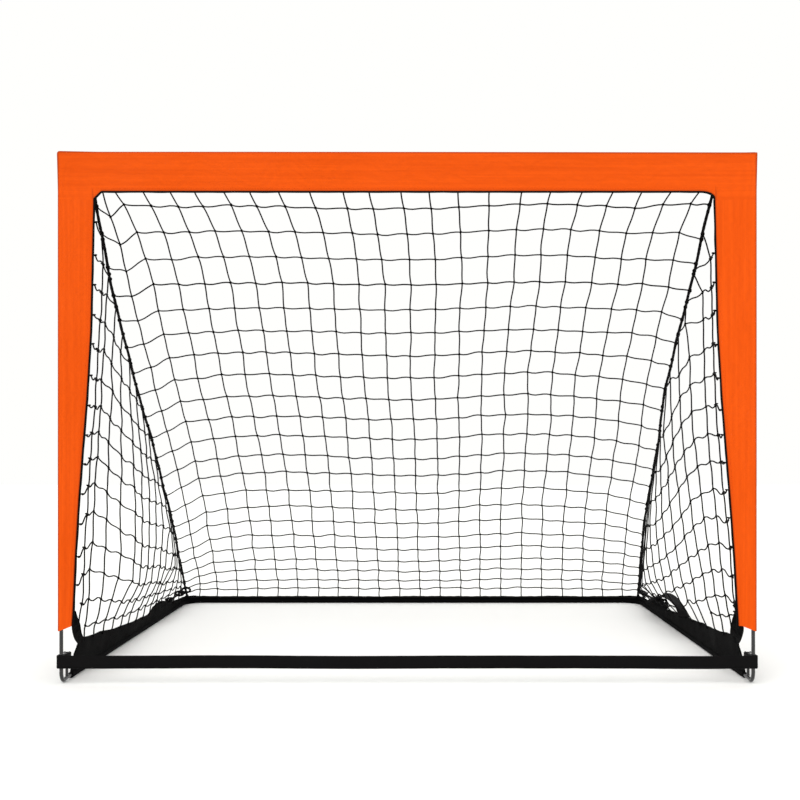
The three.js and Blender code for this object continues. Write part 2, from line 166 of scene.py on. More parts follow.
class Nodes:
    """Short calls for building one material's nodes."""

    def __init__(self, name):
        self.material = bpy.data.materials.new(name)
        self.material.use_nodes = True
        self.tree = self.material.node_tree
        self.shader = self.tree.nodes["Principled BSDF"]
        self.coords = self.new("ShaderNodeTexCoord").outputs["Object"]

    def new(self, kind, links=None, **settings):
        node = self.tree.nodes.new(kind)
        for key, value in settings.items():
            setattr(node, key, value)
        for key, value in (links or {}).items():
            if isinstance(value, bpy.types.NodeSocket):
                self.tree.links.new(value, node.inputs[key])
            else:
                node.inputs[key].default_value = value
        return node

    def scaled(self, scale):
        return self.new("ShaderNodeMapping", {
            "Vector": self.coords, "Scale": scale}).outputs["Vector"]

    def noise(self, scale, detail=4.0, vector=None, roughness=0.5):
        return self.new("ShaderNodeTexNoise", {
            "Vector": vector or self.coords, "Scale": scale, "Detail": detail,
            "Roughness": roughness}).outputs["Fac"]

    def wave(self, direction, period):
        return self.new("ShaderNodeTexWave", {
            "Vector": self.coords, "Scale": 0.314159 / period},
            bands_direction=direction).outputs["Fac"]

    def weave(self, period):
        """Threads both ways in every plane."""
        return self.math("ADD", self.math("ADD", self.wave("X", period), self.wave("Z", period)),
                         self.wave("Y", period))

    def math(self, operation, a, b):
        return self.new("ShaderNodeMath", {0: a, 1: b}, operation=operation).outputs[0]

    def ramp(self, fac, low, high, low_at=0.0, high_at=1.0):
        node = self.new("ShaderNodeMapRange", {
            "Value": fac, "From Min": low_at, "From Max": high_at,
            "To Min": low, "To Max": high})
        return node.outputs["Result"]

    def mix(self, fac, a, b):
        node = self.new("ShaderNodeMix", data_type="RGBA")
        for slot, value in ((0, fac), (6, a), (7, b)):
            if isinstance(value, bpy.types.NodeSocket):
                self.tree.links.new(value, node.inputs[slot])
            else:
                node.inputs[slot].default_value = value if slot == 0 else (*value, 1)
        return node.outputs[2]

    def attribute(self, name):
        return self.new("ShaderNodeAttribute", attribute_name=name).outputs["Fac"]

    def bump(self, height, distance, strength=1.0, under=None):
        links = {"Height": height, "Distance": distance, "Strength": strength}
        if under is not None:
            links["Normal"] = under
        return self.new("ShaderNodeBump", links).outputs["Normal"]

    def finish(self, colour, roughness, normal, **uniform):
        for key, value in (("Base Color", colour), ("Roughness", roughness), ("Normal", normal)):
            self.tree.links.new(value, self.shader.inputs[key])
        for key, value in uniform.items():
            self.shader.inputs[key.replace("_", " ")].default_value = value
        return self.material


def orange_cloth(name, streaks):
    """Coated oxford weave; streaks run along the cloth's long way."""
    n = Nodes(name)
    weave = n.weave(0.0011)
    threads = n.noise(1.0, 3.0, n.scaled(streaks), 0.6)
    clouds = n.noise(7.0, 5.0)
    colour = n.mix(n.ramp(threads, 0, 1, 0.3, 0.7), (0.690, 0.074, 0.0016), (0.800, 0.092, 0.0028))
    colour = n.mix(n.ramp(clouds, 0, 0.35, 0.35, 0.75), colour, (0.67, 0.070, 0.0016))
    colour = n.mix(n.ramp(weave, 0.16, 0, 0.6, 2.2), colour, (0.42, 0.040, 0.0015))
    # painted shade: darker orange where the cover's shade values are high, along its edges and
    # stitch line
    colour = n.mix(n.attribute("shade"), colour, (0.30, 0.034, 0.004))
    rough = n.ramp(clouds, 0.52, 0.72, 0.3, 0.7)
    relief = n.bump(threads, 0.0006, 0.5, n.bump(clouds, 0.0015, 0.5))
    return n.finish(colour, rough, n.bump(weave, 0.00022, 0.7, relief),
                    Specular_IOR_Level=0.06, Sheen_Weight=0.01, Sheen_Roughness=0.4)


def black_cloth(name, base=0.0017):
    n = Nodes(name)
    weave = n.weave(0.0013)
    clouds = n.noise(14.0, 6.0)
    dust = n.noise(55.0, 5.0, roughness=0.7)
    colour = n.mix(n.ramp(clouds, 0, 1, 0.3, 0.7), (base, base * 0.95, base * 1.05),
                   (base * 1.9, base * 1.8, base * 1.95))
    colour = n.mix(n.ramp(dust, 0, 0.2, 0.6, 0.85), colour, (0.010, 0.0095, 0.009))
    colour = n.mix(n.ramp(weave, 0.3, 0, 0.6, 2.2), colour, (0.0012, 0.0012, 0.0012))
    relief = n.bump(clouds, 0.002, 0.6)
    return n.finish(colour, n.ramp(clouds, 0.66, 0.86, 0.3, 0.7),
                    n.bump(weave, 0.0003, 0.8, relief),
                    Specular_IOR_Level=0.035, Sheen_Weight=0.002, Sheen_Roughness=0.35)


def black_webbing(name, along):
    """Ribbed webbing: ribs across its long way and a herringbone in them."""
    n = Nodes(name)
    ribs = n.wave(along, 0.0017)
    cross = n.wave("DIAGONAL", 0.0012)
    weave = n.math("ADD", ribs, n.math("MULTIPLY", cross, 0.6))
    fluff = n.noise(120.0, 4.0)
    clouds = n.noise(11.0, 4.0)
    colour = n.mix(n.ramp(weave, 0, 1, 0.3, 1.5), (0.0018, 0.0017, 0.0018),
                   (0.0062, 0.0056, 0.0060))
    colour = n.mix(n.ramp(fluff, 0, 0.25, 0.6, 0.8), colour, (0.016, 0.015, 0.014))
    colour = n.mix(n.attribute("shade"), colour, (0.0015, 0.0015, 0.0015))
    return n.finish(colour, n.ramp(clouds, 0.62, 0.82, 0.3, 0.7),
                    n.bump(weave, 0.0004, 0.8), Specular_IOR_Level=0.06,
                    Sheen_Weight=0.006, Sheen_Roughness=0.4)


def black_cord(name, lay, strands, base=0.0026):
    """Twisted cord: strands wind round it, one turn for each lay."""
    n = Nodes(name)
    uv = n.new("ShaderNodeUVMap", uv_map="wrap").outputs["UV"]
    turned = n.new("ShaderNodeSeparateXYZ", {"Vector": uv})
    wound = n.math("ADD", n.math("MULTIPLY", turned.outputs["X"], float(strands)),
                   n.math("MULTIPLY", turned.outputs["Y"], strands / lay))
    strand = n.math("ABSOLUTE", n.math("SINE", n.math("MULTIPLY", wound, math.pi), 0.0), 0.0)
    fluff = n.noise(260.0, 3.0)
    clouds = n.noise(16.0, 4.0)
    colour = n.mix(n.ramp(strand, 0, 1, 0.0, 0.8), (0.0015, 0.0014, 0.0015),
                   (base * 1.7, base * 1.6, base * 1.7))
    colour = n.mix(n.ramp(fluff, 0, 0.3, 0.55, 0.8), colour, (0.012, 0.011, 0.011))
    return n.finish(colour, n.ramp(clouds, 0.6, 0.85, 0.3, 0.7),
                    n.bump(strand, 0.0004, 0.9), Specular_IOR_Level=0.06,
                    Sheen_Weight=0.004, Sheen_Roughness=0.4)


def dark_steel(name):
    """Black enamelled rod: glossy, with fine scuffs and worn specks."""
    n = Nodes(name)
    scuffs = n.noise(1.0, 5.0, n.scaled((900, 900, 40)), 0.7)
    clouds = n.noise(35.0, 5.0)
    specks = n.noise(420.0, 3.0)
    colour = n.mix(n.ramp(clouds, 0, 1, 0.3, 0.7), (0.006, 0.006, 0.0065), (0.012, 0.012, 0.013))
    colour = n.mix(n.ramp(specks, 0, 0.6, 0.68, 0.8), colour, (0.16, 0.15, 0.14))
    rough = n.math("ADD", n.ramp(scuffs, 0.0, 0.16, 0.45, 0.8), n.ramp(clouds, 0.14, 0.24))
    return n.finish(colour, rough, n.bump(scuffs, 0.0001, 0.35),
                    Specular_IOR_Level=0.45, Coat_Weight=0.25, Coat_Roughness=0.12)


def black_plastic(name):
    n = Nodes(name)
    grain = n.noise(900.0, 3.0)
    clouds = n.noise(30.0, 4.0)
    colour = n.mix(n.ramp(clouds, 0, 1, 0.3, 0.7), (0.004, 0.004, 0.0045), (0.008, 0.008, 0.0085))
    return n.finish(colour, n.ramp(grain, 0.38, 0.55), n.bump(grain, 0.0001, 0.5),
                    Specular_IOR_Level=0.2)


def floor_paint(name):
    n = Nodes(name)
    clouds = n.noise(1.3, 3.0)
    colour = n.mix(clouds, (0.91, 0.91, 0.895), (0.93, 0.93, 0.915))
    return n.finish(colour, n.ramp(clouds, 0.75, 0.85), n.bump(clouds, 0.001, 0.1),
                    Specular_IOR_Level=0.1)


ORANGE_BAR = orange_cloth("orange_cloth_bar", (3.0, 60.0, 210.0))
ORANGE_POST = orange_cloth("orange_cloth_post", (210.0, 60.0, 3.0))
ORANGE_THREAD = orange_cloth("orange_thread", (300.0, 300.0, 300.0))
CLOTH = black_cloth("black_cloth")
STRAP_WEB = black_webbing("black_webbing_x", "X")
SIDE_WEB = black_webbing("black_webbing_y", "Y")
NET_CORD = black_cord("net_string", 0.007, 3)
SEAM_CORD = black_cord("seam_rope", 0.013, 4)
PIPING = black_cord("piping_weave", 0.006, 8)
STEEL = dark_steel("dark_steel")
PLASTIC = black_plastic("black_plastic")


# ---- meshes ----

def run_lengths(path):
    """How far along path each of its points lies."""
    return np.concatenate([[0], np.cumsum(np.linalg.norm(np.diff(path, axis=0), axis=1))])


def tangents(path):
    t = np.gradient(path, axis=0)
    return t / np.linalg.norm(t, axis=1)[:, None]


def quad_rings(n, m):
    """Quads that join n rings of m points each."""
    return [[i * m + s, i * m + (s + 1) % m, (i + 1) * m + (s + 1) % m, (i + 1) * m + s]
            for i in range(n - 1) for s in range(m)]


class Shape:
    """Gathers vertices, faces, wrap coordinates and a shade value, then makes one object."""

    def __init__(self):
        self.points, self.faces, self.wraps, self.shade, self.count = [], [], [], [], 0

    def add(self, points, faces, wraps=None, shade=None):
        points = np.asarray(points, float)
        self.points.append(points)
        start = self.count
        self.faces += [[start + i for i in f] for f in faces]
        self.wraps += wraps if wraps is not None else [[(0, 0)] * len(f) for f in faces]
        self.shade.append(np.zeros(len(points)) if shade is None else np.asarray(shade, float))
        self.count += len(points)

    def tube(self, path, radius, sides=6):
        """A round tube along path; radius is one number or one for each point."""
        path = np.asarray(path, float)
        n = len(path)
        radius = np.broadcast_to(np.asarray(radius, float), (n,))
        tangent = tangents(path)
        axis = np.eye(3)[np.argmin(np.abs(tangent[0]))]
        points = []
        for i in range(n):
            axis = axis - tangent[i] * (axis @ tangent[i])
            axis /= np.linalg.norm(axis)
            other = np.cross(tangent[i], axis)
            for s in range(sides):
                a = 2 * math.pi * s / sides
                points.append(path[i] + radius[i] * (math.cos(a) * axis + math.sin(a) * other))
        along = run_lengths(path)
        faces = quad_rings(n, sides)
        wraps = [[(s / sides, along[i]), ((s + 1) / sides, along[i]),
                  ((s + 1) / sides, along[i + 1]), (s / sides, along[i + 1])]
                 for i in range(n - 1) for s in range(sides)]
        for ring in (0, n - 1):
            r = [ring * sides + s for s in range(sides)]
            faces.append(r if ring else r[::-1])
            wraps.append([(0, along[ring])] * sides)
        self.add(points, faces, wraps)

    def ball(self, centre, radii, rings=4, sides=6, tilt=0.0):
        """A small closed lump, such as a knot."""
        points = [(0, 0, -1)]
        for i in range(1, rings):
            lat = -math.pi / 2 + math.pi * i / rings
            for s in range(sides):
                a = 2 * math.pi * (s + 0.5 * (i % 2)) / sides
                points.append((math.cos(lat) * math.cos(a), math.cos(lat) * math.sin(a),
                               math.sin(lat)))
        points.append((0, 0, 1))
        p = np.array(points) * np.array(radii)
        cos, sin = math.cos(tilt), math.sin(tilt)
        p = p @ np.array([[cos, 0, sin], [0, 1, 0], [-sin, 0, cos]])
        faces = [[0, 1 + (s + 1) % sides, 1 + s] for s in range(sides)]
        faces += [[1 + i for i in quad] for quad in quad_rings(rings - 1, sides)]
        last, top = len(points) - 1, 1 + (rings - 2) * sides
        faces += [[last, top + s, top + (s + 1) % sides] for s in range(sides)]
        self.add(p + np.asarray(centre), faces)

    def ring_sweep(self, rings, shade=None):
        """Joins rings (n, m, 3) of the same number of points into a closed shell."""
        rings = np.asarray(rings, float)
        n, m = rings.shape[:2]
        faces = quad_rings(n, m)
        for base in (0, (n - 1) * m):
            # strips of quads across the section, which pairs point k with point -1-k
            for k in range(m // 2 - 1):
                quad = [base + k, base + k + 1, base + m - 2 - k, base + m - 1 - k]
                faces.append(quad[::-1] if base else quad)
        self.add(rings.reshape(-1, 3), faces,
                 shade=None if shade is None else np.asarray(shade).ravel())

    def make(self, name, material, sharp=40.0):
        mesh = bpy.data.meshes.new(name)
        points = np.concatenate(self.points)
        mesh.from_pydata(points.tolist(), [], self.faces)
        uv = mesh.uv_layers.new(name="wrap")
        uv.data.foreach_set("uv", np.array([c for w in self.wraps for c in w], np.float32).ravel())
        shade = mesh.attributes.new("shade", "FLOAT", "POINT")
        shade.data.foreach_set("value", np.concatenate(self.shade).astype(np.float32))
        mesh.materials.append(material)
        mesh.shade_smooth()
        if sharp:
            mesh.set_sharp_from_angle(angle=math.radians(sharp))
        mesh.update()
        if mesh.validate():
            print("note: mesh repaired", name)
        obj = bpy.data.objects.new(name, mesh)
        bpy.context.scene.collection.objects.link(obj)
        return obj


def face_out(obj):
    """Turns every face of a closed piece outwards."""
    bm = bmesh.new()
    bm.from_mesh(obj.data)
    bmesh.ops.recalc_face_normals(bm, faces=bm.faces)
    bm.to_mesh(obj.data)
    bm.free()
    return obj


def shell(name, rings, material, sharp, shade=None):
    """One closed piece swept through rings."""
    shape = Shape()
    shape.ring_sweep(rings, shade)
    return face_out(shape.make(name, material, sharp))


def one_tube(name, path, radius, sides, material, sharp):
    """One piece that is a single tube."""
    shape = Shape()
    shape.tube(path, radius, sides)
    return shape.make(name, material, sharp)


def fan_blend(obj):
    """For cloth or net that spans the fold hinge: bakes the piece's placement into its mesh and
    works out each point's angle above the ground as seen from the hinge; nothing uses that angle."""
    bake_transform(obj)
    co = np.zeros(len(obj.data.vertices) * 3)
    obj.data.vertices.foreach_get("co", co)
    co = co.reshape(-1, 3)
    angle = np.arctan2(co[:, 2] - PIVOT[2], co[:, 1] - PIVOT[1])
    angle = np.where(angle < -math.pi / 2, math.pi, angle)
    return obj


def waves(seed, count, low, high):
    """A smooth random function of (a, b): a sum of plane waves with lengths low to high."""
    r = np.random.default_rng(seed)
    turn = r.uniform(0, 2 * math.pi, count)
    k = 2 * math.pi / r.uniform(low, high, count)
    phase = r.uniform(0, 2 * math.pi, count)

    def at(a, b):
        a, b = np.asarray(a, float), np.asarray(b, float)
        total = np.zeros(np.broadcast(a, b).shape)
        for t, f, p in zip(turn, k, phase):
            total = total + np.sin(f * (a * math.cos(t) + b * math.sin(t)) + p)
        return total / math.sqrt(count)

    return at


def smooth_path(points, per=6):
    """Catmull-Rom through the points."""
    p = np.asarray(points, float)
    p = np.vstack([2 * p[0] - p[1], p, 2 * p[-1] - p[-2]])
    out = []
    for i in range(1, len(p) - 2):
        for t in np.arange(per) / per:
            out.append(0.5 * (2 * p[i] + (p[i + 1] - p[i - 1]) * t
                              + (2 * p[i - 1] - 5 * p[i] + 4 * p[i + 1] - p[i + 2]) * t * t
                              + (3 * p[i] - p[i - 1] - 3 * p[i + 1] + p[i + 2]) * t ** 3))
    out.append(p[-2])
    return np.array(out)


def place(points, s=1):
    """From distances behind the posts to the row frame; s is the side, -1 or 1."""
    p = np.array(points, float) * [s, 1, 1]
    p[..., 1] += FRONT_Y
    return p


def bend_path(start, corner, end, radius, steps=14, leg=6):
    """Straight, round corner, straight."""
    a, c, b = (np.array(p, float) for p in (start, corner, end))
    u, v = (c - a) / np.linalg.norm(c - a), (b - c) / np.linalg.norm(b - c)
    centre = c - u * radius + v * radius
    angles = np.linspace(0, math.pi / 2, steps + 1)[:, None]
    arc = centre - v * radius * np.cos(angles) + u * radius * np.sin(angles)
    first = a + (arc[0] - a) * np.linspace(0, 1, leg + 1)[:-1, None]
    last = arc[-1] + (b - arc[-1]) * np.linspace(0, 1, leg + 1)[1:, None]
    return np.vstack([first, arc, last])


# ---- material of the hidden pieces, and the rods that show ----

for node in frame["nodes"]:
    material = CLOTH
    if any(w in node for w in ("rod", "rear_corner", "pin", "ferrule", "foot", "post_end")):
        material = STEEL
    if "elbow" in node or "bracket" in node:
        material = PLASTIC
    mesh = frame["nodes"][node].data
    mesh.materials.clear()
    mesh.materials.append(material)


def make_rods(side, s):
    x = s * POST_X
    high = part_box(f"foot_bend_{side}")[1]
    path = bend_path((x, FRONT_Y, high.z), (x, FRONT_Y, BASE_Z), (x, high.y, BASE_Z),
                     FOOT_BEND_R, 20, 8)
    # the bend dips a little below the side bar's line
    path[:, 2] -= 0.0021 * np.exp(-((path[:, 1] - FRONT_Y - 0.008) / 0.009) ** 2) \
        * np.clip((high.z - path[:, 2]) / 0.02, 0, 1)
    obj = one_tube(f"foot_rod_{side}", path, ROD_R, 24, STEEL, 60)
    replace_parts(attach(obj, "base"), f"foot_bend_{side}")

    low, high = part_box(f"foot_brace_{side}")
    z = np.linspace(low.z, high.z, 9)
    path = np.stack([np.full(9, x), np.full(9, (low.y + high.y) / 2), z], 1)
    swell = 0.0024 + 0.0006 * np.exp(-((z - low.z) / 0.0018) ** 2)
    obj = one_tube(f"foot_brace_rod_{side}", path, swell, 20, STEEL, 60)
    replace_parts(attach(obj, "base"), f"foot_brace_{side}")

    low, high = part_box(f"post_rod_{side}")
    z = np.concatenate([np.linspace(low.z, low.z + 0.06, 12), [0.3, 0.6, high.z]])
    path = np.stack([np.full(len(z), x), np.full(len(z), FRONT_Y), z], 1)
    obj = one_tube(f"post_tube_{side}", path, ROD_R, 24, STEEL, 60)
    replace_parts(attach(obj, "front_frame"), f"post_rod_{side}")


# ---- orange cover ----

wrinkle = waves(11, 9, 0.05, 0.16)
crease = waves(12, 7, 0.018, 0.04)


def cover_half(x, z):
    """Half the cover's thickness at (x, z): round over the rod, thin at the inner edge."""
    x, z = np.abs(np.asarray(x, float)), np.asarray(z, float)

    def over_rod(away):
        round_part = np.sqrt(np.maximum(SLEEVE_R ** 2 - np.minimum(away, 0) ** 2, 0))
        flat = SLEEVE_R + (EDGE_HALF - SLEEVE_R) * np.clip(away / 0.0615, 0, 1) ** 0.85
        return np.where(away < 0, round_part, flat)

    return np.maximum(over_rod(POST_X - x), over_rod(TOP_Z - z))


def cover_wrinkle(x, z, depth):
    """How far the cloth leaves its even surface; depth is the distance in from the edges."""
    x, z = np.asarray(x, float), np.asarray(z, float)
    fade = np.clip(depth / 0.012, 0, 1)
    return fade * (0.00065 * wrinkle(x, z) + 0.0002 * crease(x * 1.3, z * 1.3))


def stitch_dip(depth):
    return -0.0003 * np.exp(-((depth - STITCH_LINE) / 0.0011) ** 2)


def cover_piece(name, node, x, z, depth, outer, material):
    """A closed cloth shell over the grid x, z: a front face, a back face and joined edges."""
    half, dip = cover_half(x, z), stitch_dip(depth)
    fade = np.clip(outer / 0.012, 0, 1)
    front = FRONT_Y - half - cover_wrinkle(x, z, depth) * fade - dip
    back = FRONT_Y + half + cover_wrinkle(x + 3, z + 2, depth) * fade + dip
    # painted shade: the colour darkens along the outer edges where the cloth turns round the rod,
    # along the inner edge by the piping and a little along the stitch line
    shade = np.clip(0.95 - outer / 0.005, 0, 0.85) + np.clip(0.6 - depth / 0.004, 0, 0.6)
    shade = np.minimum(shade + 0.06 * np.exp(-((depth - STITCH_LINE) / 0.0009) ** 2), 1)
    rings = np.concatenate([
        np.stack([x, front, z], 2), np.stack([x, back, z], 2)[:, ::-1]], 1)
    obj = shell(name, rings, material, 50,
                np.concatenate([shade, shade[:, ::-1]], 1))
    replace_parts(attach(obj, "front_frame"), node)


def edge_x(z, s):
    return np.interp(z, EDGE_Z, EDGE_X[s])


def make_post_cover(side, s):
    z = np.linspace(COVER_LOW, COVER_JOIN + 0.0001, 150)
    z[:6] = COVER_LOW + np.array([0, 0.0012, 0.003, 0.005, 0.008, 0.012])
    inner = edge_x(z, s)[:, None]
    share = np.minimum(np.linspace(0, 1, 18)[1:] / (1 - ROUND), 1)
    grid_x = np.hstack([np.tile(COVER_OUT - ROUND_STEPS, (len(z), 1)),
                        COVER_OUT - ROUND + (inner - COVER_OUT + ROUND) * share])
    # the foot of the cover is cut a little lower at its outer side
    foot = np.clip(1 - (z - COVER_LOW) / 0.06, 0, 1)[:, None]
    grid_z = z[:, None] + foot * (
        -0.002 + 0.009 * np.clip((COVER_OUT - grid_x - 0.003) / 0.023, 0, 1))
    cover_piece(f"post_cover_{side}", f"post_sleeve_{side}", s * grid_x, grid_z,
                grid_x - inner, COVER_OUT - grid_x, ORANGE_POST)


def corner_low(x):
    """Lower edge of the crossbar's cover at x: across under the bar, then down the corners.
    The right corner is a soft curve and the left one is cut straight."""
    a, s = abs(x), 1 if x > 0 else -1
    edge = EDGE_X[s][-1]
    if a >= edge:
        return COVER_JOIN
    if s > 0:
        t = min(1.0, max(0.0, (a - (edge - CORNER_REACH)) / CORNER_REACH))
        return HEM_Z - CORNER_RISE * (1 - math.sqrt(max(0.0, 1 - t ** 2.2)))
    return HEM_Z - max(0.0, a - (edge - CORNER_CUT))


def make_crossbar_cover():
    halves = []
    for s in (-1, 1):
        edge = EDGE_X[s][-1]
        halves.append(s * np.concatenate([
            COVER_OUT - ROUND_STEPS, np.linspace(COVER_OUT - ROUND, edge, 16)[1:],
            edge - np.array([0.0001, 0.001, 0.0025, 0.005, 0.008, 0.011, 0.0145, 0.019, 0.0265]),
            np.linspace(edge - 0.031, 0, 90)]))
    x = np.concatenate([halves[0], halves[1][::-1][1:]])
    low = np.array([corner_low(a) for a in x])[:, None]
    x = x[:, None]
    edge = np.where(x > 0, EDGE_X[1][-1], EDGE_X[-1][-1])
    # the top edge sinks a little towards the right
    top = COVER_TOP - 0.002 * np.clip((x + 0.25) / 0.8, 0, 1)
    grid_z = np.hstack([top - ROUND_STEPS,
                        top - ROUND + (low - top + ROUND) * np.linspace(0, 1, 18)[1:]])
    grid_x = np.repeat(x, grid_z.shape[1], 1)
    far = np.abs(grid_x)
    hem = np.where(np.abs(x) < edge, low, -1)
    depth = np.where(far < edge, grid_z - hem, np.maximum(far - edge, 0.0))
    in_corner = (far >= edge) & (grid_z > HEM_Z)
    depth = np.where(in_corner, np.hypot(far - edge, grid_z - HEM_Z), depth)
    outer = np.minimum(COVER_OUT - far, top - grid_z)
    cover_piece("crossbar_cover", "crossbar_sleeve", grid_x, grid_z, depth, outer, ORANGE_BAR)


# ---- piping along the cover's inner edge ----

def piping_top(s):
    """The piping's way round one top corner: (across from the middle plane, height)."""
    edge, hem = EDGE_X[s][-1] - PIPING_IN, HEM_Z - PIPING_IN
    if s > 0:
        t = np.linspace(0, math.pi / 2, 13)
        return list(zip(edge - CORNER_REACH + CORNER_REACH * np.sin(t) ** (2 / 2.2),
                        hem - CORNER_RISE + CORNER_RISE * np.cos(t)))
    cut = CORNER_CUT - PIPING_IN * (2 - math.sqrt(2))
    return [(edge - cut - 0.003, hem), (edge - cut - 0.0006, hem - 0.0001),
            (edge - cut + 0.0012, hem - 0.0012), (edge - cut * 0.5, hem - cut * 0.5),
            (edge - 0.0010, hem - cut + 0.0012), (edge, hem - cut - 0.001)]


def make_piping():
    left = [(-a, b) for a, b in piping_top(-1)][::-1]
    right = piping_top(1)
    bar = np.linspace(left[-1][0], right[0][0], 120)[1:-1]
    flat = [(PIPING_IN - EDGE_X[-1][-1], COVER_JOIN), *left,
            *[(a, HEM_Z - PIPING_IN) for a in bar], *right,
            (EDGE_X[1][-1] - PIPING_IN, COVER_JOIN)]
    path = np.array([(a, FRONT_Y, b) for a, b in flat])
    path[4:-4, 2] += 0.0002 * wrinkle(path[4:-4, 0] * 2, 0.3)
    obj = one_tube("piping_bar", path, PIPING_R, 12, PIPING, 70)
    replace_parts(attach(obj, "front_frame"), "crossbar_piping")
    for side, s in SIDES:
        z = np.linspace(COVER_JOIN, COVER_LOW + 0.001, 130)
        x = s * (edge_x(z, s) - PIPING_IN + 0.0002 * wrinkle(z * 2, s * 1.0))
        path = np.stack([x, np.full(len(z), FRONT_Y), z], 1)
        obj = one_tube(f"piping_post_{side}", path, PIPING_R, 12, PIPING, 70)
        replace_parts(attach(obj, "front_frame"), f"post_piping_{side}")


def make_stitches():
    """One row of stitches beside the piping and one above each post cover's foot hem."""
    rows = [((a, HEM_Z + STITCH_LINE), (1, 0)) for a in np.arange(
        0.034 - EDGE_X[-1][-1], EDGE_X[1][-1] - 0.034, STITCH_STEP)]
    for s in (-1, 1):
        for z in np.arange(COVER_LOW + 0.016, HEM_Z - 0.02, STITCH_STEP):
            lean = (edge_x(z + 0.002, s) - edge_x(z - 0.002, s)) / 0.004
            rows.append(((s * (edge_x(z, s) + STITCH_LINE), z), (s * lean, 1)))
        for x in np.arange(0.5765, COVER_OUT - 0.004, STITCH_STEP):
            rows.append(((s * x, COVER_LOW + 0.012), (1, 0)))
    shape = Shape()
    for (x, z), way in rows:
        way = np.array([way[0], 0, way[1]]) / np.hypot(*way)
        half = float(cover_half(x, z))
        depth = abs(x) - edge_x(z, 1 if x > 0 else -1) if z < HEM_Z else z - HEM_Z
        for face in (-1, 1):
            lift = float(cover_wrinkle(*((x, z) if face < 0 else (x + 3, z + 2)), depth))
            mid = np.array([x, FRONT_Y + face * (half + lift - 0.00045), z])
            a, b = mid - way * 0.0014, mid + way * 0.0014
            top = (a + b) / 2 + np.array([0, face * 0.0004, 0])
            rise = [0, face * 0.0001, 0]
            shape.tube([a, (a + top) / 2 + rise, top, (b + top) / 2 + rise, b], 0.00028, 5)
    obj = shape.make("cover_stitching", ORANGE_THREAD, 0)
    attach(obj, "front_frame")


# ---- black sleeves over the base rods ----

FIN_END = 0.022
# side sleeve's standing band: distance behind the posts, height
BAND_TOP = {
    -1: ([BAND_FRONT, 0.064, 0.082, 0.105, 0.15, 0.197, 0.296, 0.422, 0.53, 0.708, BAND_BACK],
         [0.012, 0.038, 0.054, 0.058, 0.055, 0.0515, 0.042, 0.0346, 0.030, 0.027, FIN_END]),
    1: ([BAND_FRONT, 0.064, 0.082, 0.105, 0.125, 0.187, 0.277, 0.348, 0.43, 0.51, 0.60, 0.708,
         BAND_BACK],
        [0.012, 0.038, 0.054, 0.060, 0.0612, 0.0563, 0.050, 0.0462, 0.0425, 0.037, 0.031,
         0.027, FIN_END])}
# where the band's cloth is bunched up: distances behind, share of the extra height, that height
BUNCH = {-1: ([0.520, 0.555, 0.575, 0.600, 0.630, 0.660, 0.700, 0.745],
              [0, 0.30, 0.70, 1, 0.97, 0.70, 0.35, 0], 0.0160),
         1: ([0.610, 0.630, 0.645, 0.665, 0.690, 0.730, 0.780],
             [0, 0.45, 0.85, 1, 0.80, 0.35, 0], 0.0215)}


def bunch(back, s):
    at, share, _ = BUNCH[s]
    return np.interp(back, at, share, 0, 0)


def band_top(back, s):
    """Height of the side sleeve's standing band at a distance behind the posts."""
    return np.interp(back, *BAND_TOP[s]) + BUNCH[s][2] * bunch(back, s)


def sleeve_section(top, sway, squeeze, fin=0.0012, sides=22):
    """A rod sleeve's section (across, up): a tube on the ground with a standing fin up to top.
    Points run from one side's fin top, down round the tube and up the other side."""
    radius = SLEEVE_R - 0.0002
    rise = math.asin(fin / radius)
    angles = np.linspace(math.pi / 2 - rise, -3 * math.pi / 2 + rise, sides)
    ring = np.stack([radius * (1 + squeeze) * np.cos(angles), radius * np.sin(angles)], 1)
    ring[:, 1] = np.maximum(ring[:, 1], CLOTH_LOW - BASE_Z)
    up = np.linspace(0, 1, 7)[1:]
    base_up = ring[0, 1]
    height = top - BASE_Z
    slim = fin + (0.0011 - fin) * 0.6 * up ** 2
    lean, rises = sway * up ** 1.6, base_up + (height - base_up) * up
    right = np.stack([slim + lean, rises], 1)[::-1]
    left = np.stack([lean - slim, rises], 1)
    tip = slim[-1] * 0.35
    return np.vstack([(tip + sway, height + 0.0006), right, ring, left,
                      (sway - tip, height + 0.0006)])


def sleeve_ring(centre, out, section):
    """A section set up at centre on the ground, with across along out."""
    ring = np.array(centre, float) + np.outer(section[:, 0], out)
    ring[:, 2] = np.maximum(BASE_Z + section[:, 1], CLOTH_LOW)
    return ring


def make_side_sleeve(side, s):
    sway = waves(31 + s, 6, 0.06, 0.22)
    pinch = waves(41 + s, 6, 0.02, 0.06)
    edge = waves(51 + s, 5, 0.05, 0.15)
    rings = []
    for b in np.linspace(BAND_FRONT, BAND_BACK, 230):
        fade = min(1.0, (b - BAND_FRONT) / 0.03, (BAND_BACK - b) / 0.03)
        lump = float(bunch(b, s))
        top = band_top(b, s) + fade * 0.0007 * edge(b, 0)
        lean = fade * 0.0015 * sway(b, 0) + 0.0022 * lump * pinch(b, 7)
        rings.append(sleeve_ring(
            (s * POST_X, FRONT_Y + b, 0), (1, 0, 0),
            sleeve_section(top, lean, 0.02 * pinch(b, 0) - 0.02, 0.0012 + 0.0030 * lump)))
    rings = np.array(rings)
    rings[:, :, 0] += 0.00035 * pinch(rings[:, :, 1], rings[:, :, 2] * 3)
    obj = shell(f"side_band_{side}", rings, CLOTH, 55)
    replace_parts(obj, f"side_sleeve_{side}")
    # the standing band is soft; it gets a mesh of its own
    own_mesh(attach(obj, "base"))


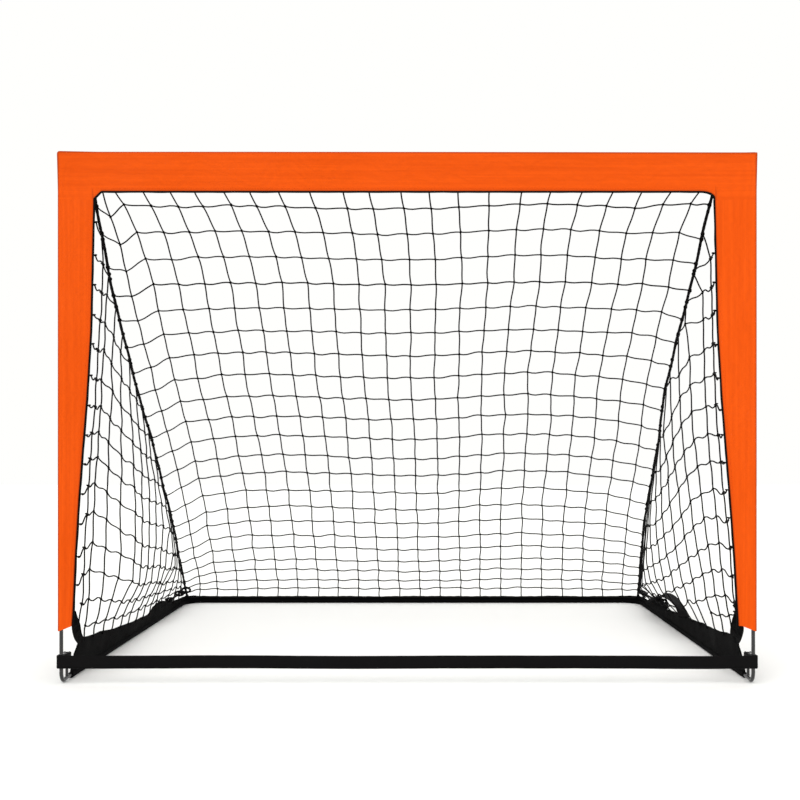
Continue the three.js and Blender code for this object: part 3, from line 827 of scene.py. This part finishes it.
def make_rear_sleeve():
    low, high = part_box("rear_sleeve")
    sway, pinch = waves(61, 6, 0.07, 0.2), waves(62, 6, 0.02, 0.07)
    rings = []
    for a in np.linspace(low.x, high.x, 220):
        fade = min(1.0, (a - low.x) / 0.03, (high.x - a) / 0.03)
        section = sleeve_section(REAR_FIN_TOP + fade * 0.0006 * pinch(a, 1),
                                 fade * 0.0008 * sway(a, 0), 0.02 * pinch(a, 0) - 0.02)
        rings.append(sleeve_ring((a, REAR_Y, 0), (0, 1, 0), section))
    obj = shell("rear_bar_cloth", rings, CLOTH, 55)
    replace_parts(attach(obj, "base"), "rear_sleeve")


def make_corner_sleeve(side, s):
    """The sleeve goes on round the corner, its fin sinking from the side band to the rear bar."""
    start = REAR_Y - REAR_BEND_R - REAR_LEG
    end = POST_X - REAR_BEND_R - REAR_LEG
    path = bend_path((s * POST_X, start, 0), (s * POST_X, REAR_Y, 0), (s * end, REAR_Y, 0),
                     REAR_BEND_R, 56, 8)
    pinch = waves(66 + s, 6, 0.02, 0.06)
    rings = []
    for p, t, share in zip(path, tangents(path), np.linspace(0, 1, len(path))):
        fade = math.sin(math.pi * share)
        top = FIN_END + (REAR_FIN_TOP - FIN_END) * share + fade * 0.0006 * pinch(p[0], p[1])
        section = sleeve_section(top, 0.0, 0.02 * fade * pinch(p[1], p[0]) - 0.02)
        rings.append(sleeve_ring(p, (t[1], -t[0], 0), section))
    obj = shell(f"corner_cloth_{side}", rings, CLOTH, 55)
    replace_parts(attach(obj, "base"), f"corner_sleeve_{side}")


# ---- front strap, gussets, loops and tie strap ----

def strip_rings(path, across, width, thick):
    """Rings of a webbing strip along path; across is the strip's wide direction at each point."""
    path, across = np.asarray(path, float), np.asarray(across, float)
    tangent = tangents(path)
    across = across - tangent * np.sum(across * tangent, 1)[:, None]
    across /= np.linalg.norm(across, axis=1)[:, None]
    out = np.cross(tangent, across)
    t = np.concatenate([[-0.5, -0.49, -0.46], np.linspace(-0.4, 0.4, 7), [0.46, 0.49, 0.5]])
    edge = np.sqrt(np.clip(1 - (np.abs(t) * 2) ** 14, 0, 1))
    swell = thick / 2 * edge * (1 + 0.16 * np.exp(-((np.abs(t) - 0.44) / 0.03) ** 2))
    swell = np.minimum(swell, thick / 2)
    wide = across * np.broadcast_to(width, len(path))[:, None]
    spine = path[:, None] + wide[:, None] * t[:, None]
    rise = out[:, None] * swell[:, None]
    return np.concatenate([spine + rise, (spine - rise)[:, ::-1]], 1)


def make_front_strap():
    half = 0.0011
    y = STRAP_FRONT + half
    out = STRAP_OUT - half * 0.9
    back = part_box("front_strap")[1].y
    turn = bend_path((out, back, 0), (out, y, 0), (out - 0.02, y, 0), 0.0035, 8, 6)
    x = np.linspace(out - 0.02, -(out - 0.02), 200)[1:-1]
    path = np.vstack([turn, np.stack([x, np.full(len(x), y), np.zeros(len(x))], 1),
                      (turn * [-1, 1, 1])[::-1]])
    sway, fold = waves(71, 5, 0.15, 0.5), waves(72, 6, 0.03, 0.08)
    fade = np.clip((out - 0.03 - np.abs(path[:, 0])) / 0.05, 0, 1)
    path[:, 2] = STRAP_MID + fade * 0.0005 * sway(path[:, 0], 0)
    path[:, 1] += fade * (0.0005 + 0.0004 * fold(path[:, 0], 0))
    across = np.tile([0, 0, 1.0], (len(path), 1))
    rings = strip_rings(path, across, STRAP_HIGH - STRAP_LOW - 0.0006, 2 * half)
    # a darker stripe a little above the strap's lower edge
    shade = 0.9 * np.exp(-((rings[:, :, 2] - STRAP_MID + 0.0088) / 0.0008) ** 2)
    obj = shell("front_webbing", rings, STRAP_WEB, 50, shade)
    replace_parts(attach(obj, "base"), "front_strap")


def make_strap_ends(side, s):
    """The strap's end pocket: a second layer of webbing folded round the hinge bracket and sewn."""
    inner = s * (POST_X - 0.0062)
    out = s * (STRAP_OUT - 0.0011)
    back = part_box(f"hinge_bracket_{side}")[1].y + 0.0016
    front = STRAP_FRONT + 0.0034
    flat = [(out - s * 0.0005, back - 0.006), (out - s * 0.0008, back - 0.002),
            (s * POST_X + s * 0.002, back), (s * POST_X - s * 0.003, back),
            (inner, back - 0.002), (inner, back - 0.008), (inner, front + 0.012),
            (inner, front + 0.003), (inner - s * 0.003, front + 0.0002),
            (inner - s * 0.016, front), (inner - s * 0.034, front)]
    path = smooth_path([(a, b, STRAP_MID) for a, b in flat], 5)
    across = np.tile([0, 0, 1.0], (len(path), 1))
    shape = Shape()
    shape.ring_sweep(strip_rings(path, across, 0.0205, 0.0011))
    for i in range(5):  # rows of bar-tack stitches through both layers
        x = inner - s * (0.008 + 0.0055 * i)
        for z in np.linspace(STRAP_LOW + 0.0035, STRAP_HIGH - 0.0035, 9):
            y = STRAP_FRONT + 0.00045
            shape.tube([(x, y + 0.0003, z - 0.0009), (x, y - 0.0001, z),
                        (x, y + 0.0003, z + 0.0009)], 0.0003, 5)
    obj = face_out(shape.make(f"strap_pocket_{side}", STRAP_WEB, 50))
    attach(obj, "base")


# web at the foot of a post's cover, outer edge then inner edge: across, behind, height
WEB = {-1: ([(0.5710, 0.0038, 0.1245), (0.5755, 0.0100, 0.1110), (0.5820, 0.0200, 0.0956),
             (0.5850, 0.0330, 0.0800), (0.5880, 0.0520, 0.0655), (0.5918, 0.0800, 0.0520)],
            [(0.5697, 0.0045, 0.1240), (0.5700, 0.0140, 0.1120), (0.5710, 0.0280, 0.0990),
             (0.5800, 0.0600, 0.0770), (0.5905, 0.1000, 0.0605), (0.5925, 0.1140, 0.0530)]),
       1: ([(0.5685, 0.0038, 0.1300), (0.5729, 0.0100, 0.1233), (0.5805, 0.0200, 0.1078),
            (0.5850, 0.0260, 0.0950), (0.5877, 0.0360, 0.0810), (0.5910, 0.0600, 0.0625),
            (0.5932, 0.0800, 0.0520)],
           [(0.5672, 0.0045, 0.1295), (0.5656, 0.0140, 0.1180), (0.5660, 0.0300, 0.1025),
            (0.5763, 0.0700, 0.0794), (0.5886, 0.1080, 0.0640), (0.5920, 0.1200, 0.0560)])}


def make_gusset(side, s):
    """The twisted web from the post cover's foot down to the side band, with folds and hems."""
    outer, inner = [even(smooth_path(edge, 10), 60) for edge in WEB[s]]
    folds, lumps = waves(81 + s, 7, 0.016, 0.05), waves(91 + s, 5, 0.01, 0.02)
    tangent = np.gradient(outer, axis=0) + np.gradient(inner, axis=0)
    share = np.linspace(0, 1, 14)
    rings = []
    for a, b, t in zip(outer, inner, tangent):
        wide = b - a
        out = np.cross(t, wide)
        out /= np.linalg.norm(out)
        across = a + wide * share[:, None]
        lift = (np.sin(math.pi * share) * (0.0014 * folds(across[:, 1], across[:, 2] * 1.2)
                                           + 0.0005 * lumps(across[:, 1], across[:, 2])))
        lift *= min(1, np.linalg.norm(wide) / 0.02)
        thick = 0.0006 + 0.0006 * np.exp(-(np.minimum(share, 1 - share) / 0.08) ** 2)
        rings.append(np.concatenate([across + out * (lift + thick)[:, None],
                                     (across + out * (lift - thick)[:, None])[::-1]]))
    obj = shell(f"gusset_web_{side}", place(rings, s), CLOTH, 60)
    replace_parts(fan_blend(obj), f"gusset_{side}")


def make_peg_loop(side, s):
    x = s * (POST_X - REAR_BEND_R - REAR_LEG - 0.016)
    a = np.linspace(0, math.pi, 21)
    y = REAR_Y - 0.0028
    path = np.stack([x + 0.011 * np.cos(a), np.full(21, y), 0.0055 + 0.0085 * np.sin(a)], 1)
    rings = strip_rings(path, np.tile([0, 1.0, 0], (21, 1)), 0.006, 0.0014)
    obj = shell(f"peg_webbing_{side}", rings, SIDE_WEB, 50)
    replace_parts(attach(obj, "base"), f"peg_loop_{side}")


def make_tie_strap():
    x = middle("tie_strap").x
    line = [(0.690, 0.0300), (0.665, 0.0420), (0.632, 0.0540), (0.590, 0.0640), (0.545, 0.0700),
            (0.497, 0.0715), (0.452, 0.0665), (0.424, 0.0580), (0.408, 0.0445)]
    path = smooth_path([(x, FRONT_Y + a, b) for a, b in line], 8)
    t = np.linspace(0, 1, len(path))
    path[:, 0] += 0.002 * np.sin(t * 7)
    across = np.stack([np.ones(len(t)), 0.15 * np.sin(t * 5), 0.35 * np.sin(t * 6 - 1)], 1)
    rings = strip_rings(path, across, 0.0200 + 0.004 * t, 0.0034)
    obj = shell("tie_webbing", rings, SIDE_WEB, 50)
    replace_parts(obj, "tie_strap")
    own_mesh(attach(obj, "base"))


# ---- net ----

MESH = 0.053
CELLS = 23
UPRIGHTS = 17
STRING_R = 0.00135
SEAM_R = 0.0027
SPARE_R = 0.0028
HEM_IN = 0.0055  # side lashings stay this far inside the cover's edge
HEM_BACK, HEM_CORD_Z = 0.0085, 0.866
WEB_BACK = 0.1  # the side net is sewn to the web up to here, then to the band
ROW_KNOT = (0.0024, 0.0021, 0.0029)
SEAM_LASHING = (0.0040, 0.0040, 0.0042)
# seam cords: behind the posts, height, distance from the middle plane on the left and right
SEAM = np.array([
    (0.003, 0.843, 0.5345, 0.5268), (0.008, 0.835, 0.538, 0.5235), (0.048, 0.789, 0.541, 0.5218),
    (0.129, 0.697, 0.547, 0.520), (0.204, 0.632, 0.552, 0.520), (0.300, 0.551, 0.558, 0.5235),
    (0.353, 0.505, 0.561, 0.526), (0.464, 0.423, 0.567, 0.543), (0.581, 0.320, 0.574, 0.553),
    (0.686, 0.232, 0.580, 0.563), (0.794, 0.110, 0.586, 0.5765), (0.848, 0.025, 0.583, 0.583)])
# middle of the back net: behind the posts, height
PROFILE = np.array([
    (0.009, 0.866), (0.062, 0.815), (0.134, 0.754), (0.233, 0.630), (0.332, 0.505), (0.434, 0.383),
    (0.542, 0.266), (0.662, 0.163), (0.792, 0.071), (0.879, 0.020)])
# the net's own layout as it falls seen from in front at height CAM_Z: sideways and downward
# slopes in thousandths
ROW_FALL = [-247.6, -221.8, -195.5, -169.9, -143.9, -120.2, -97.1, -74.1, -52.0, -31.3, -11.2, 8.6,
            26.3, 44.3, 60.9, 75.3, 89.6, 102.2, 114.2, 124.2, 134.0, 142.2]
HEM_ACROSS = [-325.6, -315.1, -286.2, -259.3, -232.5, -204.4, -176.2, -147.4, -115.0, -81.6, -54.2,
              -22.3, 6.0, 35.4, 67.8, 101.1, 131.9, 164.3, 195.6, 224.8, 255.6, 284.4]
ROW_SAG = [0, 0, 2.3, 0, -2.7, -3.4, -4.0, -3.3, -2.7, -1.6, -0.9, 0, 0, -0.2, -2.1, -4.0, -5.3,
           -5.9, -4.9, -3.4, -1.1, 1.7, 0, 0]


def even(path, count):
    """count + 1 points at even lengths along path."""
    along = run_lengths(path)
    at = np.linspace(0, along[-1], count + 1)
    return np.stack([np.interp(at, along, path[:, k]) for k in range(path.shape[1])], 1)


def slope(back, height):
    """Where a point appears to fall, seen from the front at the camera's height."""
    return (CAM_Z - height) / (CAM_BACK + back)


def seam_path(s):
    """The seam cord of one side as (across, behind, height), across from the middle plane."""
    return smooth_path(SEAM[:, [2 if s < 0 else 3, 0, 1]], 12)


def seam_at(drop, s):
    """The seam cord's point whose slope from the front is drop."""
    fine = seam_path(s)
    key = slope(fine[:, 1], fine[:, 2])
    return np.array([np.interp(drop, key, fine[:, k]) for k in range(3)])


def row_drop(j):
    """How far below the middle row j hangs at each column, as a slope from the front."""
    drop = np.array(ROW_SAG) * np.interp(j, [1, 3, 4, 5, 6, 8, 14, 20, 23],
                                         [0.9, 0.9, 0.45, 0.6, 0.65, 1, 1, 0.5, 0])
    drop[0] = np.interp(j, [1, 2, 3, 4, 5, 6, 7, 8, 13, 20, 23],
                        [-2.6, -0.6, 7.9, 11.3, 10.6, 14.7, 18.4, 17.4, 20.5, 11, 0])
    drop[1] = np.interp(j, [1, 2, 4, 5, 16, 23], [7.9, 10.9, 12.1, 11.8, 11.8, 0])
    drop[2] += np.interp(j, [1, 5], [-6, 0])
    drop[3] += np.interp(j, [1, 3], [-2.8, 0])
    drop[21] += np.interp(j, [1, 2, 3, 5, 8], [-6.5, -3.6, -2.3, -1.5, 0])
    drop[22] = np.interp(j, [1, 2, 3, 4, 5, 8, 16, 23], [-4.6, -1.5, 0.9, 2.6, 2.6, 6.3, 6.3, 0])
    drop[23] = np.interp(j, [1, 2, 3, 4, 5, 8, 16, 23], [-3.9, 5.6, 4.3, 6.2, 10, 11.8, 11.8, 0])
    return drop / 1000


def bottom_row(above):
    """Knots of the last row, lashed along the rear bar and round its corners."""
    x = np.clip(above[:, 0] * (CAM_BACK + REAR_BACK) / (CAM_BACK + above[:, 1]), -0.581, 0.581)
    centre = POST_X - REAR_BEND_R
    over = np.clip(np.abs(x) - centre, 0, None)
    inset = REAR_BEND_R - np.sqrt(REAR_BEND_R ** 2 - over ** 2)
    return np.stack([x, REAR_BACK - 0.0065 - inset, np.full(CELLS + 1, 0.0155)], 1)


def back_net_knots():
    """Knots of the back net, [row, column, xyz] with y measured behind the posts."""
    r = np.random.default_rng(5)
    fine = smooth_path(np.c_[PROFILE, np.zeros(len(PROFILE))], 16)[:, :2]
    falls = slope(fine[:, 0], fine[:, 1])
    steps = np.array([0.71, 0.82] + [1.0] * 20 + [0.80])
    steps = np.concatenate([[0], np.cumsum(steps / steps.sum())])
    from_end = np.minimum(np.arange(CELLS + 1), CELLS - np.arange(CELLS + 1))
    near = np.exp(-from_end / 2.2)
    near = (near - near.min()) / (1 - near.min())
    knots = np.zeros((CELLS + 1, CELLS + 1, 3))
    fourth = None
    for j in range(4, CELLS):
        knots[j] = net_row(j, falls, fine, near, steps, None, r)
        if j == 4:
            fourth = (knots[4, :, 0] - CAM_X) / (CAM_BACK + knots[4, :, 1])
    for j in (1, 2, 3):
        knots[j] = net_row(j, falls, fine, near, steps, fourth, r)
    across = np.array([-335, *HEM_ACROSS, 298]) / 1000
    across[1:-1] += -0.24 * (fourth[1:-1] - across[1:-1])
    knots[0] = np.stack([CAM_X + across * (CAM_BACK + HEM_BACK), np.full(CELLS + 1, HEM_BACK),
                         np.full(CELLS + 1, HEM_CORD_Z)], 1)
    knots[CELLS] = bottom_row(knots[CELLS - 1])
    return knots


def net_row(j, falls, fine, near, steps, fourth, r):
    own = ROW_FALL[j - 1] / 1000
    centre = np.interp(own, falls, fine[:, 0])
    drop = row_drop(j)
    ends = [seam_at(own + drop[0], -1) * [-1, 1, 1], seam_at(own + drop[-1], 1)]
    side_back = np.where(np.arange(CELLS + 1) < CELLS / 2, ends[0][1], ends[1][1])
    back = centre + (side_back - centre) * near
    left, right = [(e[0] - CAM_X) / (CAM_BACK + e[1]) for e in ends]
    seen = left + (right - left) * steps
    if fourth is not None:  # the top rows spread out to the hem's lashings
        hem = np.array(HEM_ACROSS) / 1000
        share = np.interp(np.arange(1, CELLS), [11, 16], {1: (0.21, 0.31), 2: (0.555, 0.655),
                                                          3: (0.79, 0.86)}[j])
        seen[1:-1] = hem + share * (fourth[1:-1] - hem)
    jitter = r.normal(0, 0.0004, (CELLS + 1, 2))
    x = CAM_X + (seen + jitter[:, 0]) * (CAM_BACK + back)
    z = CAM_Z - (own + drop + jitter[:, 1]) * (CAM_BACK + back)
    row = np.stack([x, back, z], 1)
    row[0], row[-1] = ends
    return row


def strung(points, per, new_bend):
    """A string through knots; new_bend gives one span's bend as a function of the share of it."""
    out = [np.asarray(points[0], float)]
    for a, b in zip(points[:-1], points[1:]):
        bend = new_bend(np.linalg.norm(b - a))
        out += [a + (b - a) * k + bend(k) for k in np.arange(1, per + 1) / per]
    return np.array(out)


def string(points, r, sag, ripple):
    """A slack string: it leaves each knot dipping and comes up to the next."""
    def new_bend(length):
        hang = sag * r.uniform(0.3, 1.7) * length / MESH
        swing = ripple * r.uniform(0.4, 1.4)
        side = r.normal(0, 0.0004, 2)
        return lambda k: np.array([*side * math.sin(math.pi * k),
                                   -(hang * 4 * k * (1 - k) + swing * math.sin(2 * math.pi * k))])

    return strung(points, 6, new_bend)


def upright(points, r):
    """A string pulled nearly straight from knot to knot."""
    def new_bend(length):
        bow = r.normal(0, 0.0006, 2)
        return lambda k: np.array([
            bow[0] * math.sin(math.pi * k) + 0.0004 * math.sin(2 * math.pi * k),
            bow[1] * math.sin(math.pi * k), 0])

    return strung(points, 5, new_bend)


def make_back_net():
    r = np.random.default_rng(17)
    knots = back_net_knots()
    shape = Shape()
    for j in range(1, CELLS):
        shape.tube(place(string(knots[j], r, 0.0009, 0.0012)), STRING_R, 6)
    for i in range(1, CELLS):
        shape.tube(place(upright(knots[:, i], r)), STRING_R, 6)
    for j in range(1, CELLS):
        for i in range(1, CELLS):
            shape.ball(place(knots[j, i]), ROW_KNOT, tilt=r.uniform(-0.6, 0.6))
        for i in (0, CELLS):
            shape.ball(place(knots[j, i]), (0.0042, 0.0040, 0.0044), 5, 8)
    # the cords that the first and last rows hang on
    for row in (knots[0], knots[CELLS]):
        shape.tube(place(smooth_path(row, 3)), 0.0017, 8)
    for knot in knots[CELLS]:
        shape.ball(place(knot), (0.0030, 0.0026, 0.0030), tilt=r.uniform(-0.6, 0.6))
    obj = shape.make("net_back_strings", NET_CORD, 0)
    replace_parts(fan_blend(obj), "net_back")


# side nets: height of each row at the first upright, then how far it has sunk at each upright
ROW_HEIGHT = [0.785, 0.730, 0.680, 0.630, 0.580, 0.527, 0.478, 0.431, 0.385, 0.338, 0.287, 0.230,
              0.182, 0.128, 0.0806]
ROW_SINK = [0, 0, -0.003, 0.017, 0.040, 0.060, 0.078, 0.090, 0.095, 0.103, 0.115, 0.128, 0.132,
            0.142, 0.152, 0.160, 0.165]
SINK_SHARE = ([0.0806, 0.128, 0.182, 0.230, 0.287], [0.22, 0.45, 0.70, 0.82, 1])
FIRST_STEP = ([0.1, 0.34, 0.45, 0.6], [-0.012, -0.014, -0.002, 0.004])
# how much the side net is pulled in: along the depth, and up the height
PULL_BACK = ([0, 0.053, 0.106, 0.159, 0.212, 0.265, 0.45, 0.80],
             [0, 0, 0.1, 0.33, 0.64, 1, 0.95, 0.8])
PULL_UP = ([0.05, 0.15, 0.22, 0.37, 0.5, 0.6], [0.8, 0.95, 1, 0.62, 0.25, 0])
PULL = 0.037


def side_foot(back, s):
    """Height at which the side net is sewn down: the web, then the side band."""
    web = smooth_path(WEB[s][1], 10)
    if back < WEB_BACK:
        return float(np.interp(back, web[:, 1], web[:, 2]))
    return float(band_top(back, s)) + 0.001


def side_x(back, height, s):
    """Distance of the side net from the middle plane."""
    fine = seam_path(s)[::-1]
    cover = edge_x(height, s) - HEM_IN
    plane = np.interp(height, fine[:, 2], fine[:, 0])
    t = np.clip(back / 0.11, 0, 1)
    x = cover + (plane - cover) * t * t * (3 - 2 * t)
    seam_back = np.interp(height, fine[:, 2], fine[:, 1])
    above = np.clip((height - side_foot(back, s)) / 0.09, 0, 1)
    pull = np.interp(back, *PULL_BACK) * np.interp(height, *PULL_UP)
    x -= PULL * pull * np.clip((seam_back - back) / 0.15, 0, 1) ** 0.8 * above
    return x + (POST_X - 0.002 - x) * (1 - above) ** 2 * np.clip(back / 0.1, 0, 1)


# right side net: each row's knots from the post inwards, as slopes (sideways, down) in
# thousandths seen from in front, one upright for each 53 mm behind the posts
RIGHT_ROWS = {
    1: ([300.8, 295.2],
        [-201.5, -196.4]),
    2: ([300.3, 296.0, 287.1],
        [-172.0, -166.8, -161.7]),
    3: ([302.4, 297.0, 287.7],
        [-142.7, -138.6, -133.5]),
    4: ([304.3, 297.8, 288.5, 273.6, 262.8],
        [-107.8, -109.3, -102.2, -95.5, -76.4]),
    5: ([306.0, 299.0, 289.0, 274.1, 263.9, 255.3, 246.7],
        [-73.9, -78.0, -73.9, -66.2, -53.9, -34.2, -15.4]),
    6: ([308.5, 300.6, 290.6, 275.9, 265.2, 256.7, 249.7, 243.8],
        [-41.1, -46.2, -44.5, -39.3, -26.2, -9.4, 6.9, 19.5]),
    7: ([310.6, 302.9, 292.3, 278.2, 268.0, 258.7, 251.5, 244.7, 238.7],
        [-15.4, -15.4, -16.4, -9.8, 2.1, 17.1, 30.8, 41.1, 50.3]),
    8: ([312.6, 305.7, 294.7, 281.8, 271.0, 262.5, 253.3, 245.3, 238.8],
        [13.3, 12.0, 11.8, 17.1, 27.4, 41.1, 55.4, 67.8, 74.9]),
    9: ([315.2, 308.6, 297.7, 285.4, 274.6, 265.2, 256.2, 247.4, 240.6, 234.1],
        [41.1, 44.1, 39.5, 45.2, 52.4, 67.6, 78.7, 87.3, 94.1, 99.6]),
    10: ([318.1, 312.0, 301.1, 288.5, 277.5, 268.3, 259.2, 250.2, 243.0, 236.4, 230.5],
        [69.8, 73.6, 67.8, 69.8, 79.6, 89.8, 100.1, 107.8, 113.8, 118.1, 120.6]),
    11: ([320.3, 315.2, 303.9, 292.6, 282.1, 272.4, 262.8, 254.6, 246.9, 239.9, 234.1, 229.0],
        [99.6, 101.6, 95.0, 97.5, 104.4, 111.4, 119.1, 126.3, 131.4, 134.5, 136.2, 137.1]),
    12: ([321.8, 317.2, 306.7, 296.4, 287.0, 276.9, 267.2, 258.0, 249.5],
        [129.2, 129.2, 122.7, 123.2, 127.3, 133.5, 138.6, 143.2, 145.8]),
    13: ([323.4, 319.8, 310.1, 299.8, 290.6, 280.3, 271.6],
        [160.2, 156.1, 148.9, 148.9, 152.0, 155.7, 155.0]),
    14: ([323.9, 321.4, 314.2, 304.9, 295.7],
        [166.3, 165.8, 169.4, 169.4, 166.8]),
}


def left_net_knots(r):
    """Knots of the left side net: {(row, column): (across, behind, height)}."""
    fine = seam_path(-1)
    knots = {}
    for k in range(UPRIGHTS):
        back = MESH * k
        top = 0.838 if k == 0 else float(np.interp(back, fine[:, 1], fine[:, 2]))
        foot = side_foot(back, -1)
        for j, start in enumerate(ROW_HEIGHT):
            height = start - ROW_SINK[k] * float(np.interp(start, *SINK_SHARE))
            if k == 0:
                height = start + float(np.interp(start, *FIRST_STEP))
            if height > top - 0.012 or height < foot + 0.006:
                continue
            b = back + (0 if k == 0 else r.normal(0, 0.0012))
            h = height + r.normal(0, 0.0010)
            knots[j, k] = np.array([float(side_x(b, h, -1)) + r.normal(0, 0.0008) * (k > 0), b, h])
    return knots


def right_net_knots(r):
    """Knots of the right side net, carried on from the last listed one to the seam cord."""
    knots = {}
    for j, row in RIGHT_ROWS.items():
        for k, (across, down) in enumerate(zip(*row)):
            away = CAM_BACK + MESH * k
            knots[j, k] = np.array([CAM_X + across * away / 1000, MESH * k,
                                    CAM_Z - (down + r.normal(0, 0.2)) * away / 1000])
        knots[j, 0][0] = min(knots[j, 0][0], edge_x(knots[j, 0][2], 1) - HEM_IN)
        end = seam_at(down / 1000 + 0.004, 1)
        start, seen = MESH * k, np.array([across, down]) / 1000
        goal = np.array([(end[0] - CAM_X) / (CAM_BACK + end[1]), slope(end[1], end[2])])
        while j < 12 and MESH * (k + 1) < end[1] - 0.015:
            k += 1
            share = (MESH * k - start) / (end[1] - start)
            across, down = seen + (goal - seen) * share ** 0.45
            away = CAM_BACK + MESH * k
            knots[j, k] = np.array([CAM_X + across * away, MESH * k,
                                    CAM_Z - down * away + r.normal(0, 0.001)])
    # the far uprights' lowest rows, above the band
    for k in range(7, 16):
        for j in (12, 13):
            if (j, k) in knots or (11, k) not in knots:
                continue
            above, foot = knots[11, k], side_foot(MESH * k, 1)
            share = 0.42 if j == 12 else 0.75
            if above[2] - foot > 0.03:
                knots[j, k] = np.array([
                    above[0] + (POST_X - 0.003 - above[0]) * share * 0.8, MESH * k,
                    above[2] + (foot - above[2]) * share])
    return knots


def side_net_knots(seed, s):
    """(columns, rows): {column: (foot, [points])} and {row: [(column, point)]}."""
    r = np.random.default_rng(seed)
    knots = left_net_knots(r) if s < 0 else right_net_knots(r)
    columns, rows = {}, {}
    for j, k in sorted(knots):
        rows.setdefault(j, []).append((k, knots[j, k]))
    for k in range(1, UPRIGHTS):
        line = [knots[key] for key in sorted(knots) if key[1] == k]
        columns[k] = (side_foot(MESH * k, s), sorted(line, key=lambda p: -p[2]))
    return columns, rows


def seam_point(fine, back):
    return np.array([np.interp(back, fine[:, 1], fine[:, c]) for c in range(3)])


def make_side_net(name, s, seed):
    r = np.random.default_rng(seed + 40)
    columns, rows = side_net_knots(seed, s)
    fine = seam_path(s)
    shape = Shape()
    for k, (foot, seen) in columns.items():
        back = MESH * k
        b = min(back, BAND_BACK - 0.004)
        foot_x = float(side_x(b, foot, s)) if back < WEB_BACK else POST_X - 0.0015
        points = [seam_point(fine, back)] + seen
        points.append(np.array([foot_x, b, foot - 0.003]))
        shape.tube(place(upright(points, r), s), STRING_R, 6)
        shape.ball(place(points[0], s), SEAM_LASHING, 5, 8)
        shape.ball(place(points[-1], s), (0.0024, 0.0030, 0.0034), 5, 8)
    for row in rows.values():
        points = [p for _, p in row]
        last = row[-1][1]
        # on past the last knot to the seam cord, if it is near
        backs = np.linspace(last[1], min(last[1] + 0.09, 0.84), 40)
        heights = np.interp(backs, fine[:, 1], fine[:, 2])
        fall = last[2] - 0.25 * (backs - last[1])
        meet = np.argmax(heights <= fall)
        if heights[meet] <= fall[meet]:
            points.append(seam_point(fine, backs[meet]))
            shape.ball(place(points[-1], s), SEAM_LASHING, 5, 8)
        if len(points) < 2:
            continue
        shape.tube(place(string(points, r, 0.0016, 0.0026), s), STRING_R, 6)
        for k, p in row:
            size = np.array([0.0024, 0.0024, 0.0030]) * {0: 0.7, 1: 1.2}.get(k, 1.0)
            shape.ball(place(p, s), size, tilt=r.uniform(-0.6, 0.6))
        for k, p in row[:2]:  # lashing loops round the piping and the first upright
            if k > 1:
                continue
            a = np.linspace(0, 2 * math.pi, 13)
            size = 0.0024 if k == 0 else 0.0028
            ring = np.stack([p[0] + 0.0005 + size * np.cos(a), p[1] + size * np.sin(a),
                             p[2] + 0.0012 * np.sin(a * 0.5) + (0.0016 if k else 0) * np.cos(a)], 1)
            shape.tube(place(ring, s), STRING_R * 0.9, 6)
    obj = shape.make(name + "_strings", NET_CORD, 0)
    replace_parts(fan_blend(obj), name)


# loops of the cords' spare ends: across, behind, height, half width, half height
SPARE_LOOPS = {-1: [(0.590, 0.690, 0.0370, 0.007, 0.0040), (0.586, 0.770, 0.0400, 0.011, 0.0050),
                    (0.580, 0.815, 0.0420, 0.010, 0.0058)],
               1: [(0.5895, 0.600, 0.0440, 0.0075, 0.0062), (0.588, 0.585, 0.0400, 0.006, 0.0048),
                   (0.588, 0.800, 0.0370, 0.009, 0.0045)]}


def make_seam_cord(side, s):
    path = even(seam_path(s), 260)
    r = np.random.default_rng(77 + s)
    along = np.linspace(0, 1, len(path))
    path[:, 0] += 0.0006 * np.sin(along * 60 + s)
    radius = SEAM_R + 0.0002 * np.sin(along * 900) + 0.00012 * r.normal(0, 1, len(path))
    shape = Shape()
    shape.tube(place(path, s), radius, 10)
    a = np.linspace(0, 2.2 * math.pi, 30)
    for across, back, height, wide, high in SPARE_LOOPS[s]:
        turn, lean = r.uniform(0, 2 * math.pi), r.uniform(-0.6, 0.6)
        loop = np.stack([across + wide * np.cos(a + turn),
                         back + 0.010 * np.sin(a * 0.5) + 0.001 * a,
                         height + high * np.sin(a + turn + lean)], 1)
        shape.tube(place(loop, s), SPARE_R, 8)
        shape.ball(place(loop[0], s), (0.0040, 0.0040, 0.0040), 5, 8)
    # the spare end runs back along the band to the seam's foot
    ends = np.array([(0.588, back, height - 0.4 * high)
                     for _, back, height, _, high in SPARE_LOOPS[s]])
    ends = ends[np.argsort(ends[:, 1])]
    shape.tube(place(smooth_path(np.vstack([ends, path[-3]]), 8), s), SPARE_R, 8)
    obj = shape.make(f"seam_rope_{side}", SEAM_CORD, 0)
    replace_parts(fan_blend(obj), f"seam_cord_{side}")


# ---- build everything ----

for side, s in SIDES:
    make_rods(side, s)
    make_post_cover(side, s)
    make_side_sleeve(side, s)
    make_corner_sleeve(side, s)
    make_strap_ends(side, s)
    make_gusset(side, s)
    make_peg_loop(side, s)
    make_seam_cord(side, s)
make_crossbar_cover()
make_piping()
make_stitches()
make_rear_sleeve()
make_front_strap()
make_tie_strap()
make_back_net()
make_side_net("net_left", -1, 3)
make_side_net("net_right", 1, 4)


def make_floor():
    mesh = bpy.data.meshes.new("floor")
    n, half = 12, 9.0
    grid = np.linspace(-half, half, n + 1)
    points = [(x, y, -0.0002) for y in grid for x in grid]
    starts = [j * (n + 1) + i for j in range(n) for i in range(n)]
    faces = [[a, a + 1, a + n + 2, a + n + 1] for a in starts]
    mesh.from_pydata(points, [], faces)
    mesh.materials.append(floor_paint("floor_paint"))
    floor = bpy.data.objects.new("floor", mesh)
    bpy.context.scene.collection.objects.link(floor)


make_floor()
